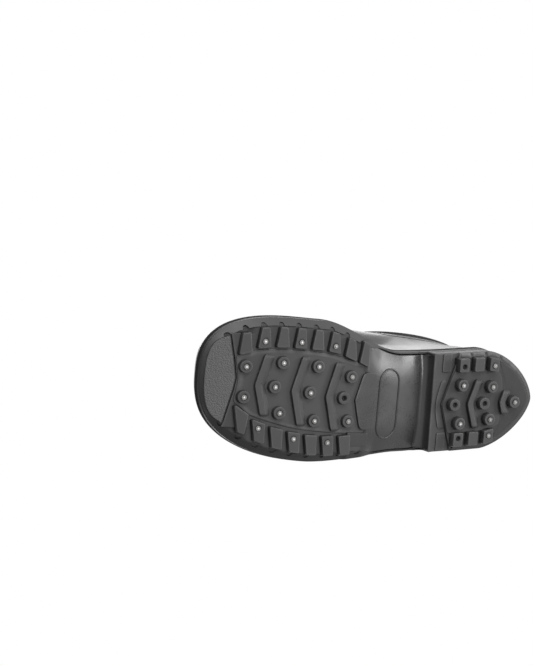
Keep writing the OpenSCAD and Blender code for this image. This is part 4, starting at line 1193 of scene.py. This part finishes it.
# Floor: a pale square under the standing overshoe, which only a camera above it sees and which fades with distance
def makeStage():
    mesh = bpy.data.meshes.new("floor")
    r = stageLight["floorReach"]
    mesh.from_pydata([(-r, -r, 0), (r, -r, 0), (r, r, 0), (-r, r, 0)], [], [(0, 1, 2, 3)])
    floor = bpy.data.objects.new("floor", mesh)
    scene.collection.objects.link(floor)
    f = Finish("paleFloor")
    ray = f.node("ShaderNodeLightPath", output="Is Camera Ray")
    back = f.node("ShaderNodeNewGeometry", output="Backfacing")
    pale = f.node("ShaderNodeBsdfDiffuse", {}, {"Color": grey(stageLight["floorGrey"])})
    clear = f.node("ShaderNodeBsdfTransparent")
    away = f.node("ShaderNodeVectorMath", {"operation": "LENGTH"}, {0: f.place()}, "Value")
    near = 1 - f.between(away, *stageLight["floorFade"])
    seen = f.node("ShaderNodeMixShader", {}, {0: ray*(1 - back)*near, 1: clear, 2: pale})
    f.node("ShaderNodeOutputMaterial", {}, {"Surface": seen})
    mesh.materials.append(f.owner)


# Surround: white to the camera, in reflections and through glass, and a soft ambient light for all else
def makeWorld():
    f = Finish("studio", "worlds")
    seen = f.node("ShaderNodeLightPath", output="Is Camera Ray")
    for ray in ("Is Glossy Ray", "Is Transmission Ray"):
        seen = f.node("ShaderNodeMath", {"operation": "ADD", "use_clamp": True},
                      {0: seen, 1: f.node("ShaderNodeLightPath", output=ray)})
    soft, white = (f.node("ShaderNodeBackground", {}, {"Color": (1, 1, 1, 1), "Strength": strength})
                   for strength in (stageLight["ambient"], 1.0))
    mixed = f.node("ShaderNodeMixShader", {}, {0: seen, 1: soft, 2: white})
    f.node("ShaderNodeOutputWorld", {}, {"Surface": mixed})
    scene.world = f.owner


# Lamps: discs of light that face the origin
def makeLamps():
    for name, place, size, power in stageLight["lamps"]:
        lamp = bpy.data.lights.new(name, "AREA")
        lamp.shape, lamp.size, lamp.energy = "DISK", size, power
        holder = bpy.data.objects.new(name, lamp)
        away = unit(np.array(place))
        side = unit(np.cross((0, 1, 0), away))
        axes = np.stack([side, np.cross(away, side), away], 1)
        holder.matrix_world = Matrix.Translation(place) @ Matrix(axes.tolist()).to_4x4()
        scene.collection.objects.link(holder)


# Yaw, rise and roll in degrees, fitted to the studs and outlines in the picture of 533 by 666 px
view = dict(yaw=26.023, rise=4.932, roll=4.930, place=(0.16826, -0.72186, -1.24474), focalPx=1682.61, longSide=666)


# Camera: its back points along yaw and rise, and its level and upright directions are turned by the roll
def makeCamera():
    yaw, rise, roll = (math.radians(view[key]) for key in ("yaw", "rise", "roll"))
    back = np.array([math.sin(rise), -math.sin(yaw)*math.cos(rise), -math.cos(yaw)*math.cos(rise)])
    level = unit(np.cross((1, 0, 0), back))
    upright = np.cross(back, level)
    right = math.cos(roll)*level + math.sin(roll)*upright
    above = math.cos(roll)*upright - math.sin(roll)*level
    lens = bpy.data.cameras.new("camera")
    lens.sensor_width, lens.sensor_fit = 36.0, "AUTO"
    lens.lens = lens.sensor_width*view["focalPx"]/view["longSide"]
    lens.clip_start = 0.01
    camera = bpy.data.objects.new("camera", lens)
    axes = Matrix(np.stack([right, above, back], 1).tolist())
    camera.matrix_world = Matrix.Translation(view["place"]) @ axes.to_4x4()
    scene.collection.objects.link(camera)
    scene.camera = camera


makeStage()
makeWorld()
makeLamps()
makeCamera()
print("stage, lights and camera set")
